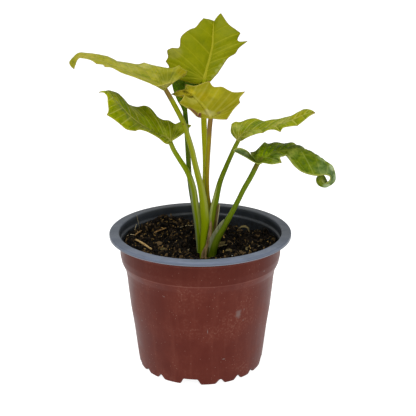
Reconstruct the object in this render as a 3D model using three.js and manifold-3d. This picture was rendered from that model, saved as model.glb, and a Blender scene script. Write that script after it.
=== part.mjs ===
// A young xanadu philodendron in a thin-walled nursery pot.
// Millimetres, +Z up. The origin is the centre of the pot's foot, on the surface it stands on.
// +X is to the right and -Y is towards the front of the plant.
import * as THREE from "three";
import { mergeVertices } from "three/addons/utils/BufferGeometryUtils.js";
import Module from "manifold-3d";

const wasm = await Module();
wasm.setup();

// Driving dimensions of the pot
const RIM_RADIUS = 60;
const POT_HEIGHT = 92.5;
const RIM_INNER_RADIUS = 53.5;
const WALL = 1.1;
const FLOOR_UNDERSIDE = 4.2;
const FLOOR_THICKNESS = 1;
const FOOT_OUTER_RADIUS = 40.9;
const FOOT_INNER_RADIUS = 39.6;
const FOOT_TAPER = 0.6;
const POT_SIDES = 48;
const DRAIN_HOLES = { count: 6, circleRadius: 26, radius: 3.5, sides: 12 };

// The notches between the pot's feet: angles in degrees from the front, counted to the right,
// flat is half the width of the notch's level top
const FOOT_NOTCHES = [
  { halfWidth: 7.2, flat: 4.2, height: 4, angles: [-9.2, 80.8, 170.8, 260.8] },
  {
    halfWidth: 3.6,
    flat: 0.3,
    height: 3.1,
    angles: [-57.5, -38.8, 18, 35.8, 53.2, 108, 125.8, 143.2, 198, 215.8, 233.2, 284],
  },
];

// Driving dimensions of the soil and of what stands in it
const CLEARANCE = 0.3;
const SOIL_LEVEL = 83;
const SOIL_EDGE_RADIUS = 51;
const SOIL_EDGE_TOP = 86;
const STALK_FOOT = 60;
const LEAF_THICKNESS = 0.7;

// Driving numbers of the leaf meshes
const MARGIN_STEP = 3.6;
const RIB_STATIONS = 16;
const STALK_SIDES = 8;
const STALK_STEP = 9;
const VEIN_SWEEP = THREE.MathUtils.degToRad(58);
const RIB_RIDGE_END = 0.82;
const RIB_TIP_RADIUS = 0.5;
const FULL_CUP_REACH = 20;

const group = new THREE.Group();

// Materials
const finishes = {
  pot: { color: 0x7a4034, roughness: 0.45, metalness: 0 },
  soil: { color: 0x2b2119, roughness: 1, metalness: 0 },
  leafOlive: { color: 0x8c9114, roughness: 0.35, metalness: 0 },
  leafGreen: { color: 0x5f7f1e, roughness: 0.35, metalness: 0 },
  leafDark: { color: 0x2f4a12, roughness: 0.4, metalness: 0 },
  papery: { color: 0xa8865a, roughness: 0.8, metalness: 0 },
  straw: { color: 0xb89a62, roughness: 0.9, metalness: 0 },
};

// Solids and meshes

function toSolid(geometry) {
  const bare = geometry.index ? geometry.clone() : geometry;
  bare.deleteAttribute("normal");
  bare.deleteAttribute("uv");
  const merged = mergeVertices(bare, 1e-4);
  const vertProperties = new Float32Array(merged.attributes.position.array);
  const triVerts = new Uint32Array(withoutSlivers(merged.index.array));
  return new wasm.Manifold(new wasm.Mesh({ numProp: 3, vertProperties, triVerts }));
}

function withoutSlivers(index) {
  const kept = [];
  for (let i = 0; i < index.length; i += 3) {
    const [a, b, c] = [index[i], index[i + 1], index[i + 2]];
    if (a !== b && b !== c && c !== a) kept.push(a, b, c);
  }
  return kept;
}

function toGeometry(solid) {
  const { vertProperties, triVerts } = solid.getMesh();
  const geometry = new THREE.BufferGeometry();
  geometry.setAttribute("position", new THREE.BufferAttribute(new Float32Array(vertProperties), 3));
  geometry.setIndex(new THREE.BufferAttribute(new Uint32Array(triVerts), 1));
  geometry.computeVertexNormals();
  return geometry;
}

function geometryOf(vertices, triangles) {
  const geometry = new THREE.BufferGeometry();
  const position = new Float32Array(vertices.flatMap((p) => [p.x, p.y, p.z]));
  geometry.setAttribute("position", new THREE.BufferAttribute(position, 3));
  geometry.setIndex(triangles.flat());
  return geometry;
}

function addPiece(name, solid, finish) {
  const mesh = new THREE.Mesh(toGeometry(solid), new THREE.MeshStandardMaterial(finishes[finish]));
  mesh.name = name;
  group.add(mesh);
}

const point = ([x, y, z]) => new THREE.Vector3(x, y, z);

// A closed round body along a curve, its radius given by a function of the share of its length
function taperedTube(curve, radiusAt, sides, step) {
  const rings = Math.max(2, Math.round(curve.getLength() / step));
  const frames = curve.computeFrenetFrames(rings, false);
  const vertices = [];
  const triangles = [];
  for (let i = 0; i <= rings; i++) {
    const centre = curve.getPointAt(i / rings);
    const radius = radiusAt(i / rings);
    for (let j = 0; j < sides; j++) {
      const angle = (2 * Math.PI * j) / sides;
      const offset = frames.normals[i].clone().multiplyScalar(Math.cos(angle) * radius);
      offset.addScaledVector(frames.binormals[i], Math.sin(angle) * radius);
      vertices.push(centre.clone().add(offset));
    }
  }
  for (let i = 0; i < rings; i++) {
    for (let j = 0; j < sides; j++) {
      const a = i * sides + j;
      const b = i * sides + ((j + 1) % sides);
      triangles.push([a, b, a + sides], [b, b + sides, a + sides]);
    }
  }
  const last = rings * sides;
  for (let j = 1; j < sides - 1; j++) {
    triangles.push([0, j + 1, j], [last, last + j, last + j + 1]);
  }
  return toSolid(geometryOf(vertices, triangles));
}

// A sheet given as vertices and triangles becomes a plate of even thickness,
// with its two faces split into triangles alike
function thickened(vertices, triangles, thickness) {
  const normals = vertices.map(() => new THREE.Vector3());
  const open = new Set();
  for (const [a, b, c] of triangles) {
    const ab = vertices[b].clone().sub(vertices[a]);
    const ac = vertices[c].clone().sub(vertices[a]);
    const normal = ab.cross(ac);
    for (const k of [a, b, c]) normals[k].add(normal);
    for (const [p, q] of [[a, b], [b, c], [c, a]]) {
      if (!open.delete(`${q},${p}`)) open.add(`${p},${q}`);
    }
  }
  const shift = normals.map((n) => n.normalize().multiplyScalar(thickness / 2));
  const upper = vertices.map((p, i) => p.clone().add(shift[i]));
  const lower = vertices.map((p, i) => p.clone().sub(shift[i]));
  const n = vertices.length;
  const faces = triangles.flatMap(([a, b, c]) => [[a, b, c], [a + n, c + n, b + n]]);
  for (const edge of open) {
    const [a, b] = edge.split(",").map(Number);
    faces.push([b, a, a + n], [b, a + n, b + n]);
  }
  return toSolid(geometryOf([...upper, ...lower], faces));
}

// Pot

const POT_OUTER_WALL = [
  [41.7, 0.6], [42.1, 3], [43.2, 12], [44.9, 27], [47, 42], [48.3, 55], [48.9, 62],
  [49.5, 66], [50, 68.2], [52.2, 73.1], [53.1, 78], [53.1, 86], [54.4, 87],
];
const POT_LIP = [
  [54.6, 91.2], [58.9, 91.2], [59.1, 90.1], [RIM_RADIUS, 90.1], [RIM_RADIUS, 91.9],
  [59.4, POT_HEIGHT], [54.1, POT_HEIGHT], [RIM_INNER_RADIUS, 92],
];

function potProfile() {
  const floorTop = FLOOR_UNDERSIDE + FLOOR_THICKNESS;
  const innerWall = POT_OUTER_WALL.filter(([, z]) => z > floorTop);
  innerWall.reverse();
  const profile = [
    [0, FLOOR_UNDERSIDE],
    [FOOT_INNER_RADIUS + FOOT_TAPER, FLOOR_UNDERSIDE],
    [FOOT_INNER_RADIUS, 0],
    [FOOT_OUTER_RADIUS, 0],
    ...POT_OUTER_WALL,
    ...POT_LIP,
    ...innerWall.map(([r, z]) => [r - WALL, z]),
    [potInnerRadius(floorTop), floorTop],
    [0, floorTop],
  ];
  return profile.map(([r, z]) => new THREE.Vector2(r, z));
}

function potInnerRadius(z) {
  const above = POT_OUTER_WALL.findIndex((p) => p[1] >= z);
  const [r1, z1] = POT_OUTER_WALL[above];
  const [r0, z0] = POT_OUTER_WALL[above - 1];
  return r0 + ((r1 - r0) * (z - z0)) / (z1 - z0) - WALL;
}

// A notch has rounded shoulders at its top and leaves the feet rounded at their corners
function footNotch(notch, angle) {
  const { halfWidth, flat, height } = notch;
  const below = -1;
  const steps = 7;
  const shoulder = Array.from({ length: steps + 1 }, (_, i) => {
    const reach = THREE.MathUtils.lerp(flat, halfWidth, i / steps);
    return [reach, height * (1 - THREE.MathUtils.smoothstep(i / steps, 0, 1))];
  });
  const rightHalf = [...shoulder, [halfWidth, below]];
  const leftHalf = rightHalf.map(([x, z]) => [-x, z]).reverse();
  const arch = new THREE.Shape([...leftHalf, ...rightHalf].map(([x, z]) => new THREE.Vector2(x, z)));
  const depth = 8;
  const cutter = new THREE.ExtrudeGeometry(arch, { depth, bevelEnabled: false });
  cutter.rotateX(Math.PI / 2);
  cutter.translate(0, -(FOOT_INNER_RADIUS - depth / 2), 0);
  cutter.rotateZ(THREE.MathUtils.degToRad(angle));
  return toSolid(cutter);
}

function makePot() {
  const shell = new THREE.LatheGeometry(potProfile(), POT_SIDES);
  shell.rotateX(Math.PI / 2);
  let pot = toSolid(shell);
  for (const notch of FOOT_NOTCHES) {
    for (const angle of notch.angles) pot = pot.subtract(footNotch(notch, angle));
  }
  const { count, circleRadius, radius, sides } = DRAIN_HOLES;
  const cutHeight = 8;
  for (let i = 0; i < count; i++) {
    const angle = (2 * Math.PI * i) / count;
    const hole = new THREE.CylinderGeometry(radius, radius, cutHeight, sides);
    hole.rotateX(Math.PI / 2);
    hole.translate(circleRadius * Math.cos(angle), circleRadius * Math.sin(angle), FLOOR_UNDERSIDE);
    pot = pot.subtract(toSolid(hole));
  }
  return pot;
}

// Leaves. Each stalk runs from the soil to the blade, where the rib goes on to the leaf's tip.
// radii are the stalk's, evenly spaced from its foot to the blade.
// left and right are the blade's margins, seen from the stalk with the upper face up.
// They run from beside the stalk to the tip, and a 1 after a point marks a pointed lobe.
// cup is how far each half bulges upwards between the rib and the margin.

const LEAVES = [
  {
    name: "leaf_upper_left",
    finish: "leafOlive",
    radii: [2, 2.1, 2.95, 2.3, 1.95, 1.8, 1.7],
    cup: { left: 1, right: 1.5 },
    stalk: [
      [1.6, -7, STALK_FOOT], [1.7, -7, 76.7], [2.2, -7, 88], [2.8, -7, 94], [3.1, -7, 100.3],
      [2.7, -7.2, 107.3], [2, -7.6, 115.6], [0.5, -8.4, 125.3], [-1.4, -9.2, 133.5],
      [-3.3, -9.9, 141.7], [-4.9, -10.7, 149.7], [-7.4, -12, 158.7], [-10.4, -13.5, 168.5],
      [-15.5, -15, 179.4], [-21, -16.5, 190],
    ],
    rib: [
      [-28.5, -16, 194], [-37.5, -14.5, 197.5], [-46, -12.5, 200.5], [-55.5, -9.5, 204],
      [-63, -6.5, 206.5], [-69.5, -3.5, 207.5], [-74.5, -1, 207.5], [-78.5, 1, 206],
      [-79.5, 2, 203], [-79, 2, 199],
    ],
    right: [
      [-17, -12, 193], [-13.5, -6, 194.5], [-9, 0, 195.5], [-8, 2, 197.5, 1], [-11, 2, 199],
      [-13, 4, 201, 1], [-17.5, 5, 199], [-25.5, 8, 199.5], [-31, 9, 200.5], [-35.5, 11, 201.5, 1],
      [-39.5, 11, 200.5], [-46, 11, 201.5], [-54, 11, 202.5, 1], [-59, 10, 205.5], [-64, 10, 206.5],
      [-72, 8, 208], [-76, 6.5, 208.5], [-79, 5, 206.5], [-82, 3.5, 203], [-81, 3, 200.5],
    ],
    left: [
      [-19, -21, 192.5], [-17, -27, 195], [-16.5, -31, 197, 1], [-20, -34, 196.5],
      [-25.5, -36, 195.5], [-30.5, -36, 197.5], [-35.5, -36, 199.5, 1], [-39, -34, 200.5],
      [-46.5, -31, 202.5], [-53, -27, 205], [-57, -25, 205, 1], [-58, -24, 206],
      [-62.5, -20, 206, 1], [-66, -16, 207.5], [-72.5, -8, 207.5], [-75.5, -5, 207],
      [-77.5, -1, 202.5],
    ],
  },
  {
    name: "leaf_top",
    finish: "leafOlive",
    radii: [1.8, 1.9, 1.9],
    cup: { left: 1.5, right: 1.5 },
    stalk: [
      [3, 9, STALK_FOOT], [3, 9, 100], [3.3, 10, 118], [3.5, 11, 138], [2.8, 12, 155],
      [2.4, 12.8, 168.5], [2.5, 13.5, 182], [3, 14, 190],
    ],
    rib: [
      [4.5, 18, 196], [6, 21, 201], [7, 24, 205], [8, 26, 209], [8.5, 31, 215.5], [9, 36, 221],
      [9.5, 41, 223.5], [9.5, 47, 222], [9, 53, 217], [8.5, 58, 211],
    ],
    right: [
      [6, 12, 188.2], [11.5, 14, 194, 1], [14.5, 17, 198], [18.5, 20, 203], [23, 22, 205.5],
      [25, 23, 208.5], [31, 25, 213, 1], [25.5, 27, 212.5], [24.5, 28, 213.5],
      [26.5, 30, 217.5, 1], [23.5, 32, 219.5], [19, 35, 222.5], [14, 41, 229, 1], [12, 46, 224],
      [13, 51, 220, 1], [11, 55, 215],
    ],
    left: [
      [-0.5, 12.5, 187.2], [-6, 12.5, 188.1], [-12, 12.5, 190], [-17.5, 13, 191.2, 1],
      [-19.5, 14, 196], [-20, 15, 198.5], [-22, 16, 201.5, 1], [-20.5, 17, 204], [-21, 19, 208],
      [-18, 20, 209.5, 1], [-13.5, 21, 209.5], [-12.5, 25, 215], [-11, 27, 217], [-6.5, 29, 220],
      [-3, 31, 221], [0, 35, 224], [2.5, 39, 226, 1], [5, 45, 224], [5, 50, 220, 1],
      [6.5, 54, 215],
    ],
  },
  {
    name: "leaf_lower_left",
    finish: "leafGreen",
    radii: [1.5, 1.6, 2.4, 2.7, 2.2, 1.7, 1.6],
    cup: { left: 1.5, right: 1.5 },
    stalk: [
      [-0.4, -2, STALK_FOOT], [-0.6, -2, 74.7], [-0.9, -2, 86], [-1.3, -2, 94],
      [-1.9, -2.1, 101], [-3.1, -2.6, 110.6], [-4.5, -3.1, 122], [-7.6, -4.1, 132.5],
      [-13.4, -5, 142.6], [-17, -5.5, 149], [-18.8, -6, 154],
    ],
    rib: [
      [-22, -7, 157], [-26.5, -9, 159], [-32.5, -12, 163.5], [-40, -15, 169.5], [-44.5, -18, 174.5],
      [-49, -21, 181], [-54, -24, 187.5], [-56.5, -26.5, 190.5], [-60.5, -30, 190.5],
    ],
    right: [
      [-16.5, -3, 156], [-13.5, -1, 157.5], [-10.5, 1, 158], [-5.5, 3, 162.5, 1], [-9, 3, 163.5],
      [-12.5, 4, 164.5], [-16, 5, 163], [-20, 6, 165], [-24, 6, 165.5], [-28.5, 6, 168.5],
      [-32, 7, 173], [-35.5, 7, 174.5], [-40.5, 6, 174], [-46, 3, 176.5], [-49, -1, 180.5],
      [-51, -6, 185], [-53.5, -10, 187], [-56, -16, 189], [-58, -24, 190],
    ],
    left: [
      [-18, -9, 153.5], [-20, -13, 154], [-22, -16, 155.5], [-25.5, -19, 159.5, 1],
      [-29, -22, 162.5], [-33.5, -25, 165.5], [-37.5, -28, 167], [-39.5, -29, 166.5, 1],
      [-44.5, -31, 168], [-48, -33, 171.5, 1], [-51.5, -35, 175], [-55.5, -38, 178.5, 1],
      [-54.5, -37, 181], [-55, -35, 185.5], [-55.5, -32, 188.5], [-57.5, -31, 190.5],
    ],
  },
  {
    name: "leaf_front",
    finish: "leafOlive",
    radii: [1.6, 1.4, 1.6],
    cup: { left: 1.5, right: 1.5 },
    stalk: [
      [5, 3.5, STALK_FOOT], [5.5, 3.5, 76], [6.5, 3.9, 88], [7, 4.1, 98], [6.2, 3.7, 107],
      [4.9, 0.4, 116], [4.4, -5, 129.6], [4.8, -8, 142.5], [5.5, -12.5, 156], [6, -18, 167],
      [6.5, -20, 172.5],
    ],
    rib: [
      [4.5, -17, 175.5], [2, -14, 178.5], [-2.5, -8, 182], [-5.5, -3, 184.5], [-9, -1, 185.5],
      [-12, -3, 185.5], [-18, -6, 184.5],
    ],
    left: [
      [9.5, -22, 172.5], [14.5, -24, 172.5], [16.5, -24, 172.5, 1], [21, -17, 177.5],
      [25, -12, 180.5, 1], [24.5, -11, 182.5], [28, -8, 186.5, 1], [23, -5, 185.5],
      [20.5, -4, 185.5], [17.5, -2, 186.5], [14, 0, 188], [8.5, 1, 188], [5.9, 3, 191.2, 1],
      [0.5, 2, 189.5], [-3, 1, 188.5], [-6, 0, 189], [-9, -1, 190, 1], [-9.5, -2, 187],
      [-14, -3, 186.5, 1], [-15.5, -4.5, 185.5],
    ],
    right: [
      [5, -22, 174.5], [-0.5, -24, 177], [-2, -25, 174.5, 1], [-6, -24.5, 178.5], [-8, -24, 180],
      [-13, -22, 182.5, 1], [-11, -17, 183.5], [-10, -10, 185], [-12, -7, 184], [-15.5, -6.5, 184.2],
    ],
  },
  {
    name: "leaf_upper_right",
    finish: "leafGreen",
    radii: [1.9, 1.9, 2.3, 2.7, 1.95, 1.6, 1.6],
    cup: { left: 1.5, right: 1.5 },
    stalk: [
      [4.6, -1.5, STALK_FOOT], [5.7, -1.2, 74.3], [6.7, -1, 85.7], [7.6, -1, 98.3],
      [8.6, -0.6, 106.6], [10.3, 0.4, 115], [12.8, 1, 125.3], [16.5, 1, 135], [20.6, 0.8, 144.8],
      [24.3, 0, 153.2],
    ],
    rib: [
      [26.6, -0.6, 156.4], [29.2, -1.2, 158.7], [33, -2, 160], [38, -4, 160.5], [43, -6, 162.5],
      [50.5, -9, 165.5], [56, -12, 168.5], [61.5, -14, 171.5], [67, -17, 174.5],
      [71, -20, 175.5],
    ],
    left: [
      [23, 3, 154.5], [20, 8, 156.5], [20.5, 11, 161.5, 1], [23, 13, 162.5], [26, 14, 162],
      [31.5, 14, 164], [36, 14, 164.5], [42, 12, 163], [47, 10, 164.5], [52, 8, 165.5],
      [57, 5, 167.5], [61, 1, 169.5], [65, -7, 175, 1], [67, -11, 176], [69.5, -15, 176],
    ],
    right: [
      [25, -4, 154], [26.5, -8, 155], [28.5, -12, 157.5], [32, -15, 160], [36.5, -17, 162],
      [39, -18, 162.5, 1], [42, -19, 164.5], [46, -20, 165], [49.5, -22, 164, 1], [51, -22, 166.5],
      [55, -22, 167.5], [60, -22, 168, 1], [63.5, -21, 170.5], [67, -21, 173.5],
    ],
  },
  {
    name: "leaf_lower_right",
    finish: "leafGreen",
    radii: [2.9, 3, 2.8, 1.95, 1.75, 1.8, 1.8],
    cup: { left: 1.5, right: 1 },
    stalk: [
      [6.4, -9.5, STALK_FOOT], [7.3, -9.5, 75], [8, -9.5, 81.8], [10.2, -9.5, 88.8],
      [13.8, -9.6, 95.7], [17.5, -10, 102.7], [21.1, -10.6, 109.7], [24.3, -11.2, 116.6],
      [27.5, -12, 123.8], [32.3, -13.5, 133.4], [36, -15, 142],
    ],
    rib: [
      [39, -15, 145], [42.5, -15, 147], [47.5, -15, 149.5], [53.5, -15, 150.5], [59, -15.5, 151.5],
      [64, -16.5, 151], [68, -18, 149.5], [72.5, -20, 147.5], [76, -22, 145.5], [79.5, -24, 143],
      [82, -25, 140], [83, -26, 137], [82.5, -26, 134], [80, -25.5, 132], [77, -25, 131],
      [75, -24.5, 132.5], [75.5, -24, 134.5],
    ],
    left: [
      [33.5, -8, 146], [32, -6, 147, 1], [35, -4, 147], [39.5, -1, 150.5], [41.5, 0, 152],
      [43.5, 0, 151], [48.5, 0, 152], [55, 0, 151], [59.5, -1, 152], [62, -2, 150.5, 1],
      [65, -5, 150.5], [67.5, -8, 148.5, 1], [70.5, -12, 148.5], [74, -15, 147], [77, -18, 145.5],
      [80, -21, 144], [82.5, -23, 142.5], [84.5, -24, 136], [84, -24, 132.5], [81.5, -23.5, 130],
      [78, -23, 128.5], [74.5, -22.5, 130.5], [73.8, -22.5, 133.5],
    ],
    right: [
      [32.1, -19, 148.2], [29.8, -19.5, 151.1], [26, -20.5, 153.3], [23.2, -21.5, 153.9],
      [20, -22, 152.3, 1], [22.9, -22.5, 151], [25.4, -22.5, 149.6], [28.2, -22.5, 148.1],
      [33, -22, 145], [37, -22, 143.5], [39.5, -24, 145], [44, -26, 144.5],
      [50.5, -26, 145.5, 1], [49.5, -25, 148.5], [52, -22, 148.5], [54.5, -21, 149],
      [56, -22, 148], [56.5, -25, 145.5], [59.5, -28, 142.5], [62, -30, 141], [67, -32, 139.5],
      [71.5, -33, 139], [76.5, -31, 139], [80, -29, 137.5], [80.5, -28, 135.5],
      [79, -27.5, 133.7], [77.5, -26.5, 133], [76.5, -25.5, 133.4],
    ],
  },
  {
    name: "leaf_back",
    finish: "leafDark",
    radii: [1.4, 1.5, 1.7, 1.6],
    cup: { left: 1.5, right: 1.5 },
    stalk: [
      [-1, 7, STALK_FOOT], [-1.3, 7, 83], [-2.3, 7, 95.6], [-3.5, 7, 102.6], [-5.3, 7, 112.3],
      [-7, 7.7, 126], [-7.7, 8.8, 138.5], [-8.4, 9.8, 152], [-9, 10.5, 162], [-9.5, 11, 168.4],
    ],
    rib: [
      [-10, 14, 172.5], [-10.5, 18, 178.5], [-10.3, 23.5, 183.8], [-8.5, 30, 189],
      [-7, 38, 194.5], [-6, 46, 199.5], [-5.5, 52, 202], [-5, 57, 203],
    ],
    left: [
      [-11, 11, 169.5], [-12.6, 11.5, 173.3], [-14.2, 12, 175.8], [-16, 12.5, 180],
      [-17.2, 13, 183.5], [-18, 14, 187.2], [-18.4, 16, 189.4, 1], [-18, 22, 191],
      [-21, 28, 195, 1], [-17, 34, 197], [-17, 41, 201, 1], [-12, 47, 201.5], [-9, 53, 203],
    ],
    right: [
      [-8.2, 11.5, 169.3], [-8.1, 13, 173], [-6, 15.5, 177], [-1, 19, 180], [5, 24, 183.5, 1],
      [5.5, 28, 188], [9.5, 34, 192.5, 1], [4.5, 39, 196], [5.5, 46, 199.5, 1], [1, 51, 201.5],
      [-2, 55, 203],
    ],
  },
];

const smoothCurve = (points) => new THREE.CatmullRomCurve3(points, false, "centripetal");

const ribCurve = (leaf) => smoothCurve([leaf.stalk.at(-1), ...leaf.rib].map(point));

function stalkCurve(leaf, footDrop = 0) {
  const route = leaf.stalk.map(point);
  route[0].z -= footDrop;
  return smoothCurve(route);
}

// The ridge along the rib goes on from the stalk and thins to the tip
function leafStalk(leaf) {
  const rib = ribCurve(leaf);
  const stalkLength = stalkCurve(leaf).getLength();
  const ridgeLength = rib.getLength() * RIB_RIDGE_END;
  const ridge = [0.2, 0.4, 0.6, 0.8, 1].map((share) => rib.getPointAt(share * RIB_RIDGE_END));
  const route = smoothCurve([...leaf.stalk.map(point), ...ridge]);
  const neck = stalkLength / (stalkLength + ridgeLength);
  const radiusAt = (share) => {
    if (share > neck) {
      return THREE.MathUtils.lerp(leaf.radii.at(-1), RIB_TIP_RADIUS, (share - neck) / (1 - neck));
    }
    const place = (share / neck) * (leaf.radii.length - 1);
    const before = Math.min(Math.floor(place), leaf.radii.length - 2);
    return THREE.MathUtils.lerp(leaf.radii[before], leaf.radii[before + 1], place - before);
  };
  return taperedTube(route, radiusAt, STALK_SIDES, STALK_STEP);
}

// Points along a margin, smooth between its pointed lobes and kept at their tips
function marginSamples(points) {
  const samples = [];
  let run = [];
  points.forEach((p, i) => {
    run.push(point(p));
    if (run.length > 1 && (p[3] || i === points.length - 1)) {
      const curve = smoothCurve(run);
      const steps = Math.max(1, Math.round(curve.getLength() / MARGIN_STEP));
      samples.push(...curve.getSpacedPoints(steps).slice(samples.length ? 1 : 0));
      run = [point(p)];
    }
  });
  return samples;
}

// The rib station that the vein to each margin point leaves from, never further back than the last
function veinRoots(rib, margin) {
  let station = 0;
  return margin.map((m, i) => {
    if (i === margin.length - 1) return RIB_STATIONS;
    while (station < RIB_STATIONS - 1) {
      const along = rib[station + 1].clone().sub(rib[station]).normalize();
      const reach = m.clone().sub(rib[station]);
      if (reach.dot(along) <= Math.cos(VEIN_SWEEP) * reach.length()) break;
      station++;
    }
    return station;
  });
}

// The blade is ruled along its veins from the rib to the two margins, with one bulged row between
function leafBlade(leaf) {
  const rib = ribCurve(leaf).getSpacedPoints(RIB_STATIONS);
  const vertices = [...rib];
  const triangles = [];
  for (const side of ["left", "right"]) {
    const margin = marginSamples([...leaf[side], leaf.rib.at(-1)]);
    const roots = veinRoots(rib, margin);
    const flip = side === "left";
    const addTriangle = (a, b, c) => triangles.push(flip ? [a, c, b] : [a, b, c]);
    let inner = -1;
    let outer = -1;
    margin.forEach((m, i) => {
      const root = roots[i];
      const atTip = i === margin.length - 1;
      let nextInner = root;
      let nextOuter = root;
      if (!atTip) {
        const along = rib[Math.min(root + 1, RIB_STATIONS)].clone().sub(rib[Math.max(root - 1, 0)]);
        const reach = m.clone().sub(rib[root]);
        const up = flip ? reach.clone().cross(along) : along.clone().cross(reach);
        up.normalize().negate();
        const bulge = Math.min(1, reach.length() / FULL_CUP_REACH) * leaf.cup[side];
        const middle = rib[root].clone().addScaledVector(reach, 0.5).addScaledVector(up, bulge);
        nextInner = vertices.push(middle) - 1;
        nextOuter = vertices.push(m) - 1;
      }
      if (i > 0) {
        for (let k = roots[i - 1]; k < root; k++) addTriangle(k, inner, k + 1);
        if (atTip) {
          addTriangle(inner, outer, root);
        } else {
          addTriangle(root, inner, nextInner);
          addTriangle(inner, outer, nextOuter);
          addTriangle(inner, nextOuter, nextInner);
        }
      }
      inner = nextInner;
      outer = nextOuter;
    });
  }
  return thickened(vertices, triangles, LEAF_THICKNESS);
}

// Papery sheaths of old leaves, standing in the soil beside the stalks

const SHEATHS = [
  {
    name: "sheath_front",
    thickness: 0.7,
    leftEdge: [
      [0.3, -11.2, 68], [0.3, -11.3, 76], [0.7, -11.2, 80], [2, -11, 82.8], [3.6, -10.7, 86],
      [4.6, -10.2, 91], [5.4, -9.8, 96], [6.2, -9.2, 101],
    ],
    middle: [
      [2.1, -12, 68], [2.1, -12, 76], [2.6, -11.9, 81], [3.6, -11.6, 84], [4.9, -11, 88],
      [6, -10.4, 93], [6.6, -9.9, 98], [6.9, -9.4, 102],
    ],
    rightEdge: [
      [3.8, -11.6, 68], [3.8, -11.7, 76], [4.2, -11.6, 81], [5, -11.2, 84.5], [6.2, -10.7, 88.5],
      [7.6, -10, 93.5], [7.7, -9.6, 97.5], [7.4, -9.2, 101],
    ],
  },
  {
    name: "sheath_right",
    thickness: 0.7,
    leftEdge: [
      [7.2, -5.2, 68], [7.6, -5.2, 80], [8.3, -4.9, 90], [9.2, -4.7, 98], [10.2, -4.2, 105],
      [11, -3.7, 110.5],
    ],
    middle: [
      [8, -5.6, 68], [8.5, -5.5, 80], [9.4, -5.2, 90], [10.3, -4.9, 98], [11.2, -4.4, 105],
      [12, -3.9, 111.5],
    ],
    rightEdge: [
      [8.8, -5, 68], [9.3, -5, 80], [10.1, -4.6, 90], [11.1, -4.2, 98], [12.1, -3.7, 105],
      [12.8, -3.2, 110.5],
    ],
  },
];

function sheathPlate(sheath, extra) {
  const rows = 10;
  const [left, middle, right] = [sheath.leftEdge, sheath.middle, sheath.rightEdge].map((edge) =>
    smoothCurve(edge.map(point)).getSpacedPoints(rows),
  );
  for (const side of [left, right]) {
    side.forEach((p, i) => p.add(p.clone().sub(middle[i]).normalize().multiplyScalar(extra)));
  }
  for (const column of [left, middle, right]) column[0].z -= extra;
  const vertices = [...left, ...middle, ...right];
  const triangles = [];
  const tall = rows + 1;
  for (let column = 0; column < 2; column++) {
    for (let row = 0; row < rows; row++) {
      const a = column * tall + row;
      triangles.push([a, a + tall, a + tall + 1], [a, a + tall + 1, a + 1]);
    }
  }
  return thickened(vertices, triangles, sheath.thickness + 2 * extra);
}

// Litter on the soil

const LITTER = [
  { name: "straw_stick", radius: 0.8, ends: [[-43.1, 3.6, 84.4], [-31.8, -11.5, 83.2]] },
  { name: "twig_left", radius: 0.6, ends: [[-44.5, 14.8, 83.2], [-40.3, 21.7, 84.4]] },
  { name: "twig_back", radius: 0.6, ends: [[-32.7, 16.9, 83.9], [-23.4, 24.5, 85.2]] },
];

function litterStick(stick, extra) {
  const [from, to] = stick.ends.map(point);
  const along = to.clone().sub(from).normalize();
  const curve = new THREE.LineCurve3(
    from.clone().addScaledVector(along, -extra),
    to.clone().addScaledVector(along, extra),
  );
  const wobble = (share) => stick.radius * (1 + 0.12 * Math.sin(9 * share)) + extra;
  return taperedTube(curve, wobble, 7, 3);
}

// Soil

const SOIL_MOUNDS = [
  { x: 2, y: -6, spread: 8, rise: -9 },
  { x: 8, y: -19, spread: 8, rise: -4.5 },
  { x: 0, y: 51, spread: 6.5, rise: -10 },
  { x: 24, y: 46, spread: 9, rise: -5 },
  { x: 37, y: 36, spread: 7, rise: -5 },
  { x: -31, y: 40, spread: 11, rise: 3.5 },
];

// Crossing waves give the lumps: rise in mm, and turns in radians per mm
const SOIL_LUMPS = [
  { rise: 0.8, alongX: 0.42, alongY: 0.11, phase: 1.3 },
  { rise: 0.8, alongX: -0.14, alongY: 0.39, phase: 0.4 },
  { rise: 0.6, alongX: 0.51, alongY: -0.47, phase: 2.1 },
  { rise: 0.5, alongX: 0.33, alongY: 0.62, phase: 5 },
];

function soilHeight(x, y) {
  let z = SOIL_LEVEL;
  for (const m of SOIL_MOUNDS) {
    const away = ((x - m.x) ** 2 + (y - m.y) ** 2) / (2 * m.spread ** 2);
    z += m.rise * Math.exp(-away);
  }
  for (const w of SOIL_LUMPS) z += w.rise * Math.sin(w.alongX * x + w.alongY * y + w.phase);
  return z;
}

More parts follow.
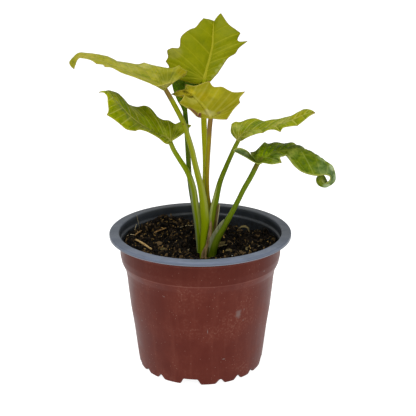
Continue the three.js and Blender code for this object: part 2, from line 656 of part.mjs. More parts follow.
function makeSoil() {
  const floor = FLOOR_UNDERSIDE + FLOOR_THICKNESS + CLEARANCE;
  const sideHeights = [floor, 12, 27, 42, 55, 62, 66];
  const upperSides = [
    { height: 68.2, underEdge: 3 },
    { height: 73.1, underEdge: 2 },
    { height: 78, underEdge: 1 },
  ];
  const topRadii = [46, 40, 34, 28, 22.5, 17, 12, 7.5, 3.5];
  const edge = ringPoints(SOIL_EDGE_RADIUS, soilHeight);
  for (const p of edge) p.z = Math.min(p.z, SOIL_EDGE_TOP);
  const rings = sideHeights.map((z) => edge.map((p) => besideWall(p, z)));
  for (const { height, underEdge } of upperSides) {
    rings.push(edge.map((p) => besideWall(p, Math.min(height, p.z - underEdge))));
  }
  rings.push(edge.map((p) => besideWall(p, p.z)));
  for (const radius of topRadii) rings.push(ringPoints(radius, soilHeight));
  const vertices = rings.flat();
  const triangles = [];
  for (let i = 0; i < rings.length - 1; i++) {
    for (let j = 0; j < POT_SIDES; j++) {
      const a = i * POT_SIDES + j;
      const b = i * POT_SIDES + ((j + 1) % POT_SIDES);
      triangles.push([a, b, b + POT_SIDES], [a, b + POT_SIDES, a + POT_SIDES]);
    }
  }
  const bottom = vertices.push(new THREE.Vector3(0, 0, floor)) - 1;
  const top = vertices.push(new THREE.Vector3(0, 0, soilHeight(0, 0))) - 1;
  const lastRing = (rings.length - 1) * POT_SIDES;
  for (let j = 0; j < POT_SIDES; j++) {
    const next = (j + 1) % POT_SIDES;
    triangles.push([bottom, next, j], [top, lastRing + j, lastRing + next]);
  }
  let soil = toSolid(geometryOf(vertices, triangles));
  for (const leaf of LEAVES) {
    const radius = Math.max(leaf.radii[0], leaf.radii[1]) + CLEARANCE;
    const hole = taperedTube(stalkCurve(leaf, CLEARANCE), () => radius, STALK_SIDES, STALK_STEP);
    soil = soil.subtract(hole);
  }
  for (const sheath of SHEATHS) soil = soil.subtract(sheathPlate(sheath, CLEARANCE));
  for (const stick of LITTER) soil = soil.subtract(litterStick(stick, CLEARANCE));
  return soil;
}

// The place beside the pot's wall at a given height, in the direction of a point
function besideWall(p, z) {
  const share = (potInnerRadius(z) - CLEARANCE) / Math.hypot(p.x, p.y);
  return new THREE.Vector3(p.x * share, p.y * share, z);
}

// The soil's rings share the pot's sides, so the two stay evenly apart
function ringPoints(radius, heightAt) {
  return Array.from({ length: POT_SIDES }, (_, j) => {
    const angle = (2 * Math.PI * j) / POT_SIDES;
    const x = radius * Math.cos(angle);
    const y = radius * Math.sin(angle);
    return new THREE.Vector3(x, y, heightAt(x, y));
  });
}

// Assembly

addPiece("pot", makePot(), "pot");
addPiece("potting_soil", makeSoil(), "soil");
for (const leaf of LEAVES) addPiece(leaf.name, leafStalk(leaf).add(leafBlade(leaf)), leaf.finish);
for (const sheath of SHEATHS) addPiece(sheath.name, sheathPlate(sheath, 0), "papery");
for (const stick of LITTER) addPiece(stick.name, litterStick(stick, 0), "straw");

export default group;
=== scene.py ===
"""A young xanadu philodendron in a thin-walled nursery pot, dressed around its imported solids.

Points are written in millimetres in the row frame: +X to the right, -Y to the front, +Z up,
with the origin under the middle of the pot's foot. Meshes are made in metres.
"""
import math
from functools import partial

import bpy
import numpy as np
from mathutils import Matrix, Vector, noise


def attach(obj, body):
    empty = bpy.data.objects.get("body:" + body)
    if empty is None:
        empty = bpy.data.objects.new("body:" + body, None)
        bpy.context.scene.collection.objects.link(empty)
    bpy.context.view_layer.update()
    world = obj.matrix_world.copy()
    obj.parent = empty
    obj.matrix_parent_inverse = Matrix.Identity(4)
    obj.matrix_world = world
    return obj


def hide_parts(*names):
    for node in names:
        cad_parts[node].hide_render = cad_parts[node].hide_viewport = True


MM = 0.001
BODY = "root"

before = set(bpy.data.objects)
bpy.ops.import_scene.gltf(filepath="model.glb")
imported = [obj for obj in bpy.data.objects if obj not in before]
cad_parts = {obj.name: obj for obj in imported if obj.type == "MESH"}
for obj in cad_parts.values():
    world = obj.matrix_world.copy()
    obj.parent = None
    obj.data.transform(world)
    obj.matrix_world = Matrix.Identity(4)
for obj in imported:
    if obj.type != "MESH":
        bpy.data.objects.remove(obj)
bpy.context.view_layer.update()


# Camera, floor and light

CAMERA = {
    "back": 600, "height": 304, "pitch": 18.12, "yaw": 0.484, "lens": 83.25, "sensor": 36, "near": 10,
}
WHITE = (1, 1, 1, 1)
FLOOR_GREY = (0.4, 0.4, 0.4, 1)
FLOOR_GLOW = 0.92
ROOM_LIGHT = 0.55
# The floor and the lamps are placed and sized in metres
FLOOR_REACH = 8
LAMPS = [
    {"name": "overhead", "place": (-0.2, -0.2, 1.5), "target": (0, 0, 0.1), "size": 1.3, "watts": 16},
    {"name": "front_right", "place": (0.7, -1.4, 0.8), "target": (0, 0, 0.12), "size": 0.9, "watts": 5},
]


def add_object(name, data):
    """A new object in the scene that holds this data."""
    made = bpy.data.objects.new(name, data)
    bpy.context.scene.collection.objects.link(made)
    return made


def place_camera():
    camera = bpy.data.cameras.new("camera")
    camera.lens = CAMERA["lens"]
    camera.sensor_width = CAMERA["sensor"]
    camera.clip_start = CAMERA["near"] * MM
    holder = add_object("camera", camera)
    holder.location = (0, -CAMERA["back"] * MM, CAMERA["height"] * MM)
    tilt = math.radians(90 - CAMERA["pitch"])
    holder.rotation_euler = (tilt, 0, -math.radians(CAMERA["yaw"]))
    bpy.context.scene.camera = holder


def soft_lamp(name, place, target, size, watts):
    lamp = bpy.data.lights.new(name, "AREA")
    lamp.shape = "DISK"
    lamp.size = size
    lamp.energy = watts
    holder = add_object(name, lamp)
    holder.location = place
    aim = Vector(target) - Vector(place)
    holder.rotation_euler = aim.to_track_quat("-Z", "Y").to_euler()


def make_stage():
    """A plain pale floor and soft light from all round, strongest from above."""
    far = FLOOR_REACH
    mesh = bpy.data.meshes.new("floor")
    mesh.from_pydata([(-far, -far, 0), (far, -far, 0), (far, far, 0), (-far, far, 0)], [], [(0, 1, 2, 3)])
    mesh.materials.append(Finish("pale_floor", FLOOR_GREY).finish(0.9, 0.1, emits=FLOOR_GLOW))
    floor = add_object("floor", mesh)
    world = bpy.data.worlds.new("soft_room")
    world.use_nodes = True
    background = world.node_tree.nodes["Background"]
    background.inputs["Color"].default_value = WHITE
    background.inputs["Strength"].default_value = ROOM_LIGHT
    bpy.context.scene.world = world
    for lamp in LAMPS:
        soft_lamp(**lamp)


# Colours and materials

def colour(red, green, blue):
    """A screen colour from 0 to 255 as the linear colour that a shader takes."""
    parts = [c / 255 for c in (red, green, blue)]
    linear = [c / 12.92 if c <= 0.04045 else ((c + 0.055) / 1.055) ** 2.4 for c in parts]
    return (*linear, 1.0)


def new_node(tree, kind, inputs=(), **settings):
    """A new node in a tree. Each input, by name or number, is linked to a socket or set to a value."""
    made = tree.nodes.new(kind)
    for key, value in settings.items():
        setattr(made, key, value)
    for key, value in dict(inputs).items():
        if isinstance(value, bpy.types.NodeSocket):
            tree.links.new(value, made.inputs[key])
        else:
            made.inputs[key].default_value = value
    return made


class Finish:
    """A procedural material, built one node at a time, whose base colour takes one coat after another."""

    def __init__(self, name, base):
        self.material = bpy.data.materials.new(name)
        self.material.use_nodes = True
        self.material.node_tree.nodes.clear()
        self.node = partial(new_node, self.material.node_tree)
        self.place = self.node("ShaderNodeTexCoord").outputs["Object"]
        self.base = base

    def attribute(self, name):
        return self.node("ShaderNodeAttribute", attribute_name=name).outputs["Fac"]

    def axis(self, letter):
        """How far the place is along X, Y or Z."""
        return self.node("ShaderNodeSeparateXYZ", {0: self.place}).outputs[letter]

    def noise(self, size, detail=3.0, roughness=0.55, stretch=(1, 1, 1), seed=0.0):
        """Noise whose lumps are about size millimetres across."""
        moved = self.node(
            "ShaderNodeMapping",
            {"Vector": self.place, "Location": (seed, seed, seed), "Scale": stretch},
        )
        scale = 1 / (size * MM)
        made = self.node(
            "ShaderNodeTexNoise",
            {"Vector": moved.outputs[0], "Scale": scale, "Detail": detail, "Roughness": roughness},
        )
        return made.outputs["Fac"]

    def specks(self, size):
        """How far the place is from the nearest of many scattered points."""
        scale = 1 / (size * MM)
        made = self.node("ShaderNodeTexVoronoi", {"Vector": self.place, "Scale": scale}, feature="F1")
        return made.outputs["Distance"]

    def spread(self, value, low, high, to_low=0.0, to_high=1.0):
        """value from low to high, eased and moved to to_low to to_high."""
        made = self.node(
            "ShaderNodeMapRange",
            {"Value": value, "From Min": low, "From Max": high, "To Min": to_low, "To Max": to_high},
            interpolation_type="SMOOTHSTEP",
        )
        return made.outputs[0]

    def maths(self, operation, first, second=0.0):
        return self.node("ShaderNodeMath", {0: first, 1: second}, operation=operation).outputs[0]

    def plus(self, first, second):
        return self.maths("ADD", first, second)

    def minus(self, first, second):
        return self.maths("SUBTRACT", first, second)

    def times(self, first, second):
        return self.maths("MULTIPLY", first, second)

    def off(self, value, middle):
        """How far a value is from the middle one."""
        return self.maths("ABSOLUTE", self.minus(value, middle))

    def vector(self, operation, first, second=(0, 0, 0), output="Vector"):
        inputs = {0: first, 1: second}
        return self.node("ShaderNodeVectorMath", inputs, operation=operation).outputs[output]

    def length(self, vector):
        return self.vector("LENGTH", vector, output="Value")

    def distance(self, x, y, z):
        """How far the place is from a point given in millimetres."""
        return self.vector("DISTANCE", self.place, (x * MM, y * MM, z * MM), "Value")

    def mix(self, share, first, second, blend="MIX"):
        inputs = {0: share, 6: first, 7: second}
        return self.node("ShaderNodeMix", inputs, data_type="RGBA", blend_type=blend).outputs[2]

    def coat(self, share, tint):
        """Lays a screen colour over the base, as much as the share says."""
        self.base = self.mix(share, self.base, colour(*tint))

    def patch(self, away, reach, tint, share):
        """A soft-edged coat where away is within its reach in millimetres."""
        self.coat(self.spread(away, 0.4 * reach * MM, reach * MM, share, 0), tint)

    def bump(self, height, strength, distance, under=None):
        inputs = {"Height": height, "Strength": strength, "Distance": distance * MM}
        if under is not None:
            inputs["Normal"] = under
        return self.node("ShaderNodeBump", inputs).outputs[0]

    def finish(self, rough, shine, normal=None, through=None, share=0.0, emits=0.0):
        """The finished material. Light shines through a share of it in the colour given as through."""
        relief = {} if normal is None else {"Normal": normal}
        look = {"Base Color": self.base, "Roughness": rough, "Specular IOR Level": shine, **relief}
        emission = {"Emission Color": WHITE, "Emission Strength": emits}
        shader = self.node("ShaderNodeBsdfPrincipled", {**look, **emission}).outputs[0]
        if through is not None:
            glow = self.node("ShaderNodeBsdfTranslucent", {"Color": through, **relief}).outputs[0]
            shader = self.node("ShaderNodeMixShader", {0: share, 1: shader, 2: glow}).outputs[0]
        self.node("ShaderNodeOutputMaterial", {"Surface": shader})
        return self.material


# Meshes

CURVE_SAMPLES = 24


def make_piece(name, points, faces, materials, face_materials=None, attributes=()):
    """A mesh object at the origin, from points in millimetres."""
    mesh = bpy.data.meshes.new(name)
    mesh.from_pydata((np.asarray(points, float) * MM).tolist(), [], faces)
    for material in materials:
        mesh.materials.append(material)
    if face_materials is not None:
        mesh.polygons.foreach_set("material_index", np.asarray(face_materials, np.int32))
    for key, values in dict(attributes).items():
        stored = mesh.attributes.new(key, "FLOAT", "POINT")
        stored.data.foreach_set("value", np.asarray(values, np.float32))
    mesh.polygons.foreach_set("use_smooth", [True] * len(mesh.polygons))
    mesh.update()
    return add_object(name, mesh)


def settle(piece, slot, *nodes):
    """The piece rides on the plant's one body and stands for its CAD nodes, which it hides; the slot is not
    used.
    """
    if nodes:
        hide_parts(*nodes)
    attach(piece, BODY)


def smooth_line(points, step=None, count=None):
    """Evenly spaced points along a centripetal curve through the given ones."""
    through = np.array([p[:3] for p in points], float)
    ends = np.vstack([2 * through[0] - through[1], through, 2 * through[-1] - through[-2]])
    fine = [through[0]]
    for i in range(len(through) - 1):
        p0, p1, p2, p3 = ends[i:i + 4]
        d0, d1, d2 = (max(1e-4, np.linalg.norm(b - a)) ** 0.5 for a, b in ((p0, p1), (p1, p2), (p2, p3)))
        t1 = ((p1 - p0) / d0 - (p2 - p0) / (d0 + d1) + (p2 - p1) / d1) * d1
        t2 = ((p2 - p1) / d1 - (p3 - p1) / (d1 + d2) + (p3 - p2) / d2) * d1
        a = 2 * p1 - 2 * p2 + t1 + t2
        b = -3 * p1 + 3 * p2 - 2 * t1 - t2
        for s in np.linspace(0, 1, CURVE_SAMPLES + 1)[1:]:
            fine.append(((a * s + b) * s + t1) * s + p1)
    fine = np.array(fine)
    run = np.concatenate([[0], np.cumsum(np.linalg.norm(np.diff(fine, axis=0), axis=1))])
    if count is None:
        count = max(1, round(run[-1] / step))
    at = np.linspace(0, run[-1], count + 1)
    return np.stack([np.interp(at, run, fine[:, k]) for k in range(3)], axis=1)


def unit(vectors):
    vectors = np.asarray(vectors, float)
    length = np.linalg.norm(vectors, axis=-1, keepdims=True)
    return vectors / np.maximum(length, 1e-9)


def eased(value, low, high):
    share = np.clip((value - low) / (high - low), 0, 1)
    return share * share * (3 - 2 * share)


def blurred(values, reach):
    """A running mean along the first axis, with the ends held."""
    values = np.asarray(values, float)
    pad = [(reach, reach)] + [(0, 0)] * (values.ndim - 1)
    wide = np.pad(values, pad, mode="edge")
    total = np.cumsum(np.concatenate([np.zeros((1, *wide.shape[1:])), wide]), axis=0)
    window = 2 * reach + 1
    return (total[window:] - total[:-window]) / window


def nearest(points, line):
    """The distance of each point from the nearest stretch of a line."""
    best = np.full(len(points), np.inf)
    for a, b in zip(line[:-1], line[1:]):
        along = b - a
        share = np.clip((points - a) @ along / max(along @ along, 1e-12), 0, 1)
        away = points - (a + share[:, None] * along)
        best = np.minimum(best, np.einsum("ij,ij->i", away, away))
    return np.sqrt(best)


def carried_frames(line, first_up):
    """At each point of a line, an upward direction square to it and a sideways one."""
    along = unit(np.gradient(line, axis=0))
    up = np.array(first_up, float)
    ups = []
    for direction in along:
        up = up - direction * (up @ direction)
        up = up / np.linalg.norm(up)
        ups.append(up)
    ups = np.array(ups)
    return ups, np.cross(along, ups)


def tube_rings(line, ups, sideways, half_width, above, below, sides):
    """Rings of points round a line, from the half width and the heights above and below at each point."""
    turns = np.linspace(0, 2 * np.pi, sides, endpoint=False)
    across = np.cos(turns)
    raised = np.sin(turns)
    lift = np.where(raised > 0, raised * above[:, None], raised * below[:, None])
    return (
        line[:, None]
        + sideways[:, None] * (across * half_width[:, None])[..., None]
        + ups[:, None] * lift[..., None]
    )


def tube_faces(rings, sides):
    """Faces of a closed tube whose rings turn from sideways towards up, seen along it."""
    faces = []
    for i in range(rings - 1):
        for j in range(sides):
            a = i * sides + j
            b = i * sides + (j + 1) % sides
            faces.append((a, a + sides, b + sides, b))
    faces.append(tuple(range(sides)))
    faces.append(tuple(range(rings * sides - 1, (rings - 1) * sides - 1, -1)))
    return faces


def turned_faces(rings, sides):
    """Faces of a closed turned body, whose two points on the axis follow those of its rings."""
    faces = []
    for i in range(rings - 1):
        for j in range(sides):
            a = i * sides + j
            b = i * sides + (j + 1) % sides
            faces.append((a, b, b + sides, a + sides))
    last = (rings - 1) * sides
    first_middle, last_middle = rings * sides, rings * sides + 1
    for j in range(sides):
        following = (j + 1) % sides
        faces.append((first_middle, following, j))
        faces.append((last_middle, last + j, last + following))
    return faces


def shifted(faces, by):
    """The same faces on points that come later by so many."""
    return [tuple(k + by for k in face) for face in faces]


def sheet_normals(points, faces):
    normals = np.zeros_like(points)
    for size in (3, 4):
        some = np.array([f for f in faces if len(f) == size])
        if len(some) == 0:
            continue
        a, b, c = points[some[:, 0]], points[some[:, 1]], points[some[:, -1]]
        across = np.cross(b - a, c - a)
        for k in range(size):
            np.add.at(normals, some[:, k], across)
    return unit(normals)


def open_edges(faces):
    """The edges that only one face has, each in that face's direction."""
    edges = {}
    for face in faces:
        for a, b in zip(face, face[1:] + face[:1]):
            if (b, a) in edges:
                del edges[(b, a)]
            else:
                edges[(a, b)] = True
    return list(edges)


def plate_faces(faces, count):
    """The faces of a sheet of so many points, then those of its underside, then those round its edge."""
    under = [tuple(k + count for k in reversed(face)) for face in faces]
    rim = [(b, a, a + count, b + count) for a, b in open_edges(faces)]
    return faces + under + rim


# Pot

RIM_RADIUS = 60
POT_HEIGHT = 92.5
RIM_INNER_RADIUS = 53.5
WALL = 1.1
CORNER_ROUNDING = 0.7
FLOOR_UNDERSIDE = 4.2
FLOOR_TOP = 5.2
FOOT_OUTER_RADIUS = 40.9
FOOT_INNER_RADIUS = 39.6
FOOT_TAPER = 0.6
STEP_HEIGHT = 73.1
SLATE_FROM = 87.6
FOOT_NOTCHES = [
    {"half_width": 7.2, "flat": 4.2, "height": 4, "angles": (-9.2, 80.8, 170.8, 260.8)},
    {
        "half_width": 3.6, "flat": 0.3, "height": 3.1,
        "angles": (-57.5, -38.8, 18, 35.8, 53.2, 108, 125.8, 143.2, 198, 215.8, 233.2, 284),
    },
]
DRAIN_HOLES = {"count": 6, "circle_radius": 26, "radius": 3.5, "sides": 32, "overshoot": 2}
POT_OUTER_WALL = [
    (41.7, 0.6), (42.1, 3), (43.2, 12), (44.9, 27), (47, 42), (48.3, 55), (48.9, 62),
    (49.5, 66), (50, 68.2), (52.2, STEP_HEIGHT), (53.1, 78), (53.1, 86), (54.4, 87),
]
POT_LIP = [
    (54.6, 91.2), (58.9, 91.2), (59.1, 90.1), (RIM_RADIUS, 90.1), (RIM_RADIUS, 91.9),
    (59.4, POT_HEIGHT), (54.1, POT_HEIGHT), (RIM_INNER_RADIUS, 92),
]
POT_SEGMENTS = 540
NOTCH_REACH = 12
# Painted shade in the hollow behind the foot ring: it begins at the first radius and height and is full at
# the second
FOOT_HOLLOW_SHADE = {"radii": (41.1, 40.7), "heights": (5.2, 4.6)}
# Marks on the wall: where each is, and its half width and half height
POT_SCUFFS = [
    (-23.3, -43.9, 63.3, 0.9, 0.5),
    (-15.7, -47.4, 64.0, 0.5, 0.5),
    (4.4, -46.6, 40.8, 0.35, 4.0),
    (24.1, -41.6, 50.3, 2.4, 3.4),
    (27.8, -39.5, 52.6, 0.6, 1.0),
    (27.2, -38.8, 45.0, 0.5, 0.8),
    (40.5, -34.3, 76.7, 0.8, 0.5),
    (-38.1, -26.9, 39.4, 0.7, 0.5),
    (14.8, -41.4, 18.8, 1.2, 0.6),
    (-30, 34, 55, 0.6, 3.2),
    (20, 43, 38, 2.0, 1.2),
    (45.5, 12, 47, 0.5, 2.2),
]


def wall_radius(z):
    radii, heights = zip(*POT_OUTER_WALL)
    return np.interp(z, heights, radii)


def pot_corners():
    """The wall's section, from the middle of its underside, up round the rim, to the middle of its floor."""
    underside = [(0, FLOOR_UNDERSIDE), (FOOT_INNER_RADIUS + FOOT_TAPER, FLOOR_UNDERSIDE)]
    foot = [(FOOT_INNER_RADIUS, 0), (FOOT_OUTER_RADIUS, 0)]
    inner_wall = [(r - WALL, z) for r, z in reversed(POT_OUTER_WALL) if z > FLOOR_TOP]
    floor = [(wall_radius(FLOOR_TOP) - WALL, FLOOR_TOP), (0, FLOOR_TOP)]
    return underside + foot + POT_OUTER_WALL + POT_LIP + inner_wall + floor


def softened(corners, radius):
    """The profile with each corner rounded, and a point on either side to hold the flats flat."""
    corners = np.array(corners, float)
    points = [corners[0]]
    for before, corner, after in zip(corners[:-2], corners[1:-1], corners[2:]):
        back, ahead = before - corner, after - corner
        reach = min(radius, 0.3 * np.linalg.norm(back), 0.3 * np.linalg.norm(ahead))
        enter = corner + unit(back) * reach
        leave = corner + unit(ahead) * reach
        points.append(enter + unit(back) * reach * 0.5)
        for share in (0, 0.25, 0.5, 0.75, 1):
            points.append(
                enter * (1 - share) ** 2 + corner * 2 * share * (1 - share) + leave * share ** 2
            )
        points.append(leave + unit(ahead) * reach * 0.5)
    points.append(corners[-1])
    return np.array(points)


def notch_height(angles):
    """How far the foot is cut away above the ground at each angle, in degrees."""
    height = np.zeros(len(angles))
    for notch in FOOT_NOTCHES:
        for middle in notch["angles"]:
            away = (angles - middle + 90 + 180) % 360 - 180
            across = np.abs(np.radians(away)) * FOOT_OUTER_RADIUS
            cut = notch["height"] * (1 - eased(across, notch["flat"], notch["half_width"]))
            height = np.maximum(height, cut)
    return height


def make_pot(outside, inside):
    """The pot as a turned body whose lowest rings rise over the notches, with its floor drilled."""
    profile = softened(pot_corners(), CORNER_ROUNDING)[1:-1]
    angles = np.linspace(0, 360, POT_SEGMENTS, endpoint=False)
    across, ahead = np.cos(np.radians(angles)), np.sin(np.radians(angles))
    cut = notch_height(angles)
    foot_side = FOOT_OUTER_RADIUS - FOOT_TAPER
    rings = []
    for r, z in profile:
        radii = np.full(POT_SEGMENTS, r)
        heights = np.full(POT_SEGMENTS, z)
        if r >= foot_side and z < NOTCH_REACH:
            heights = cut + z * (NOTCH_REACH - cut) / NOTCH_REACH
            radii = radii + wall_radius(heights) - wall_radius(z)
        elif FOOT_INNER_RADIUS - 1 < r < foot_side and z < FLOOR_UNDERSIDE:
            heights = cut + z * (FLOOR_UNDERSIDE - cut) / FLOOR_UNDERSIDE
        rings.append(np.stack([radii * across, radii * ahead, heights], axis=1))
    points = np.concatenate(rings + [[[0, 0, FLOOR_UNDERSIDE], [0, 0, FLOOR_TOP]]])
    slate_from = next(i for i, (r, z) in enumerate(profile) if z > SLATE_FROM)
    finishes = [int(i >= slate_from) for i in range(len(rings) - 1) for _ in angles]
    finishes += [0, 1] * POT_SEGMENTS
    faces = turned_faces(len(rings), POT_SEGMENTS)
    pot = make_piece("pot_shell", points, faces, [outside, inside], finishes)
    cut_out(pot, make_piece("drain_drill", *drain_plugs(), [outside, inside]))
    return pot


def drain_plugs():
    """Upright plugs where the drain holes go, as points and faces."""
    points, faces = [], []
    sides, beyond = DRAIN_HOLES["sides"], DRAIN_HOLES["overshoot"]
    turns = np.linspace(0, 2 * np.pi, sides, endpoint=False)
    for i in range(DRAIN_HOLES["count"]):
        around = 2 * np.pi * i / DRAIN_HOLES["count"]
        x = DRAIN_HOLES["circle_radius"] * math.cos(around)
        y = DRAIN_HOLES["circle_radius"] * math.sin(around)
        start = len(points)
        for z in (FLOOR_UNDERSIDE - beyond, FLOOR_TOP + beyond):
            points += [
                (x + DRAIN_HOLES["radius"] * math.cos(t), y + DRAIN_HOLES["radius"] * math.sin(t), z)
                for t in turns
            ]
        faces.append(tuple(start + j for j in range(sides - 1, -1, -1)))
        faces.append(tuple(start + sides + j for j in range(sides)))
        for j in range(sides):
            k = (j + 1) % sides
            faces.append((start + j, start + k, start + sides + k, start + sides + j))
    return points, faces


def cut_out(piece, cutter):
    """Takes the cutter's volume out of the piece and removes the cutter."""
    modifier = piece.modifiers.new("cut", "BOOLEAN")
    modifier.object = cutter
    modifier.operation = "DIFFERENCE"
    modifier.solver = "EXACT"
    graph = bpy.context.evaluated_depsgraph_get()
    piece.data = bpy.data.meshes.new_from_object(piece.evaluated_get(graph))
    piece.modifiers.clear()
    bpy.data.objects.remove(cutter)


def pot_outside_finish():
    """Satin terracotta-coloured plastic, faintly streaked with flow lines and painted sheen, mottled and
    dusty, with a few scuffs, a pale line along the step, and painted shade on the collar and behind the foot
    ring.
    """
    f = Finish("pot_terracotta", colour(84, 29, 19))
    streaks = f.noise(5, detail=4, stretch=(1, 1, 0.06))
    clouds = f.noise(22, detail=4, roughness=0.6, seed=3)
    grain = f.noise(1.6, detail=2, seed=7)
    height = f.axis("Z")
    f.coat(f.spread(clouds, 0.3, 0.7), (94, 38, 27))
    # Faint vertical streaks, partly flow lines in the plastic and partly painted sheen
    f.coat(f.spread(streaks, 0.45, 0.75, 0, 0.35), (108, 54, 42))
    dust = f.times(f.spread(clouds, 0.45, 0.75), f.spread(grain, 0.45, 0.75))
    f.coat(f.times(dust, 0.3), (140, 96, 82))
    # A pale line along the step
    pale_step_line = f.spread(f.off(height, STEP_HEIGHT * MM), 0.1 * MM, 0.5 * MM, 0.28, 0)
    f.coat(f.times(pale_step_line, f.spread(clouds, 0.35, 0.6, 0.5, 1)), (144, 98, 88))
    # Painted shade on the collar under the rim, from just above the step upwards
    f.coat(f.spread(height, STEP_HEIGHT * MM, (STEP_HEIGHT + 0.9) * MM, 0, 0.3), (70, 20, 8))
    for x, y, z, wide, tall in POT_SCUFFS:
        away = f.vector("SUBTRACT", f.place, (x * MM, y * MM, z * MM))
        shrunk = f.vector("MULTIPLY", away, (1 / wide, 1 / wide, 1 / tall))
        ragged = f.plus(f.length(shrunk), f.times(f.minus(grain, 0.5), 1.4 * MM))
        f.coat(f.spread(ragged, 0.3 * MM, 1.2 * MM, 0.55, 0), (122, 108, 104))
    f.coat(f.spread(f.specks(2.6), 0.06, 0.11, 0.35, 0), (175, 140, 125))
    # Painted shade on the underside behind the foot ring, which shows through the notches
    radius = f.length(f.vector("MULTIPLY", f.place, (1, 1, 0)))
    behind_foot = f.spread(radius, *(r * MM for r in FOOT_HOLLOW_SHADE["radii"]))
    below_floor = f.spread(height, *(z * MM for z in FOOT_HOLLOW_SHADE["heights"]))
    f.coat(f.times(behind_foot, below_floor), (14, 8, 6))
    normal = f.bump(f.noise(0.9, detail=2, seed=5), 0.2, 0.05, f.bump(streaks, 0.25, 0.12))
    return f.finish(f.spread(clouds, 0.3, 0.7, 0.36, 0.5), 0.1, normal)


def pot_inside_finish():
    """Slate plastic of the rim, whose top has a painted bluish reflection, strongest in front and greyer
    behind, and a painted highlight along the lip's front edge, and of the darker, soiled inner wall.
    """
    f = Finish("pot_slate", colour(100, 109, 127))
    clouds = f.noise(9, detail=4, roughness=0.6)
    grain = f.noise(1.2, detail=3, seed=2)
    height, ahead = f.axis("Z"), f.axis("Y")
    # Painted reflection on the rim's top: pale and bluish in front, greyer in the middle and darkest behind
    f.coat(f.spread(ahead, -58 * MM, 0), (84, 90, 100))
    f.coat(f.spread(ahead, 0, 58 * MM), (56, 59, 61))
    # Below the rim's top the inner wall is darker, without the painted reflection
    f.base = f.mix(f.spread(height, 89.5 * MM, 91.6 * MM), colour(45, 50, 56), f.base)
    f.coat(f.spread(clouds, 0.35, 0.7, 0, 0.3), (66, 73, 86))
    f.coat(f.times(f.spread(height, 83 * MM, 92 * MM, 0.75, 0), f.spread(grain, 0.4, 0.62)), (30, 26, 20))
    # A painted highlight along the lip's lower edge, strongest in front
    edge = f.spread(f.off(height, 90.2 * MM), 0.1 * MM, 0.5 * MM, 0.5, 0)
    f.coat(f.times(edge, f.spread(ahead, -10 * MM, -50 * MM)), (168, 176, 190))
    f.coat(f.spread(grain, 0.6, 0.8, 0, 0.2), (130, 134, 140))
    return f.finish(f.spread(clouds, 0.3, 0.7, 0.3, 0.45), 0.25, f.bump(grain, 0.2, 0.06))


# Soil

CLEARANCE = 0.3
SOIL_LEVEL = 83
SOIL_EDGE_TOP = 86
SOIL_EDGE_RADIUS = 51
SOIL_SIDES = 240
SOIL_RINGS = 110
# Heights of the rings beside the wall, and of those near the top with how far under the edge they stay
SOIL_LOW_RINGS = (27, 55, 62)
SOIL_HIGH_RINGS = ((68.2, 3), (STEP_HEIGHT, 2), (78, 1))
# Mounds and hollows: the middle, how far each spreads and how high it rises
SOIL_MOUNDS = [
    (2, -6, 8, -9), (8, -19, 8, -4.5), (0, 51, 6.5, -10), (24, 46, 9, -5), (37, 36, 7, -5),
    (-31, 40, 11, 3.5),
]
# Waves: the rise, how fast each turns along X and Y, and where it starts
SOIL_WAVES = [
    (0.8, 0.42, 0.11, 1.3), (0.8, -0.14, 0.39, 0.4), (0.6, 0.51, -0.47, 2.1), (0.5, 0.33, 0.62, 5),
]
# The relief: sizes across, the slice of the noise that each is read from, and how high it rises
CLODS = {"size": 5.5, "slice": 1.7, "rise": 1.3}
LUMPS = {"size": 3.4, "slice": 4.4, "rise": 2.2}
PITS = {"size": 1.7, "slice": 8.1, "rise": 0.8}
MEAN_LUMP = 0.25
STICK_BED = {"half_width": 1.6, "fades_by": 4, "depth": 0.7}
GRAIN_EDGE_RADIUS = 50.2
GRAINS_ABOVE = 70
LEAST_UPWARD = 0.15
DENTS_PER_METRE = 900.0
TURN_SEED = 11
TONE_SEED = 23
MOSTLY_DARK = 2.4


def soil_height(x, y):
    z = SOIL_LEVEL + np.zeros(np.shape(x))
    for mound_x, mound_y, spread, rise in SOIL_MOUNDS:
        z = z + rise * np.exp(-((x - mound_x) ** 2 + (y - mound_y) ** 2) / (2 * spread ** 2))
    for rise, along_x, along_y, phase in SOIL_WAVES:
        z = z + rise * np.sin(along_x * x + along_y * y + phase)
    return z


def crumbly(x, y):
    """Small hollows and crumbs on top of the soil's form, in millimetres."""
    def place(relief):
        return Vector((x / relief["size"], y / relief["size"], relief["slice"]))

    clods = noise.fractal(place(CLODS), 0.7, 2.1, 5)
    lumps = abs(noise.noise(place(LUMPS))) - MEAN_LUMP
    pits = noise.noise(place(PITS))
    return CLODS["rise"] * clods + LUMPS["rise"] * lumps + PITS["rise"] * pits


def soil_top(x, y):
    """The soil's height with its relief, which dips under the sticks that lie on it."""
    relief = np.array([crumbly(a, b) for a, b in zip(x, y)])
    places = np.stack([x, y], axis=1)
    for *_, through in STICKS:
        away = nearest(places, np.array(through)[:, :2])
        bed = 1 - eased(away, STICK_BED["half_width"], STICK_BED["fades_by"])
        relief = relief * (1 - bed) - STICK_BED["depth"] * bed
    return soil_height(x, y) + relief


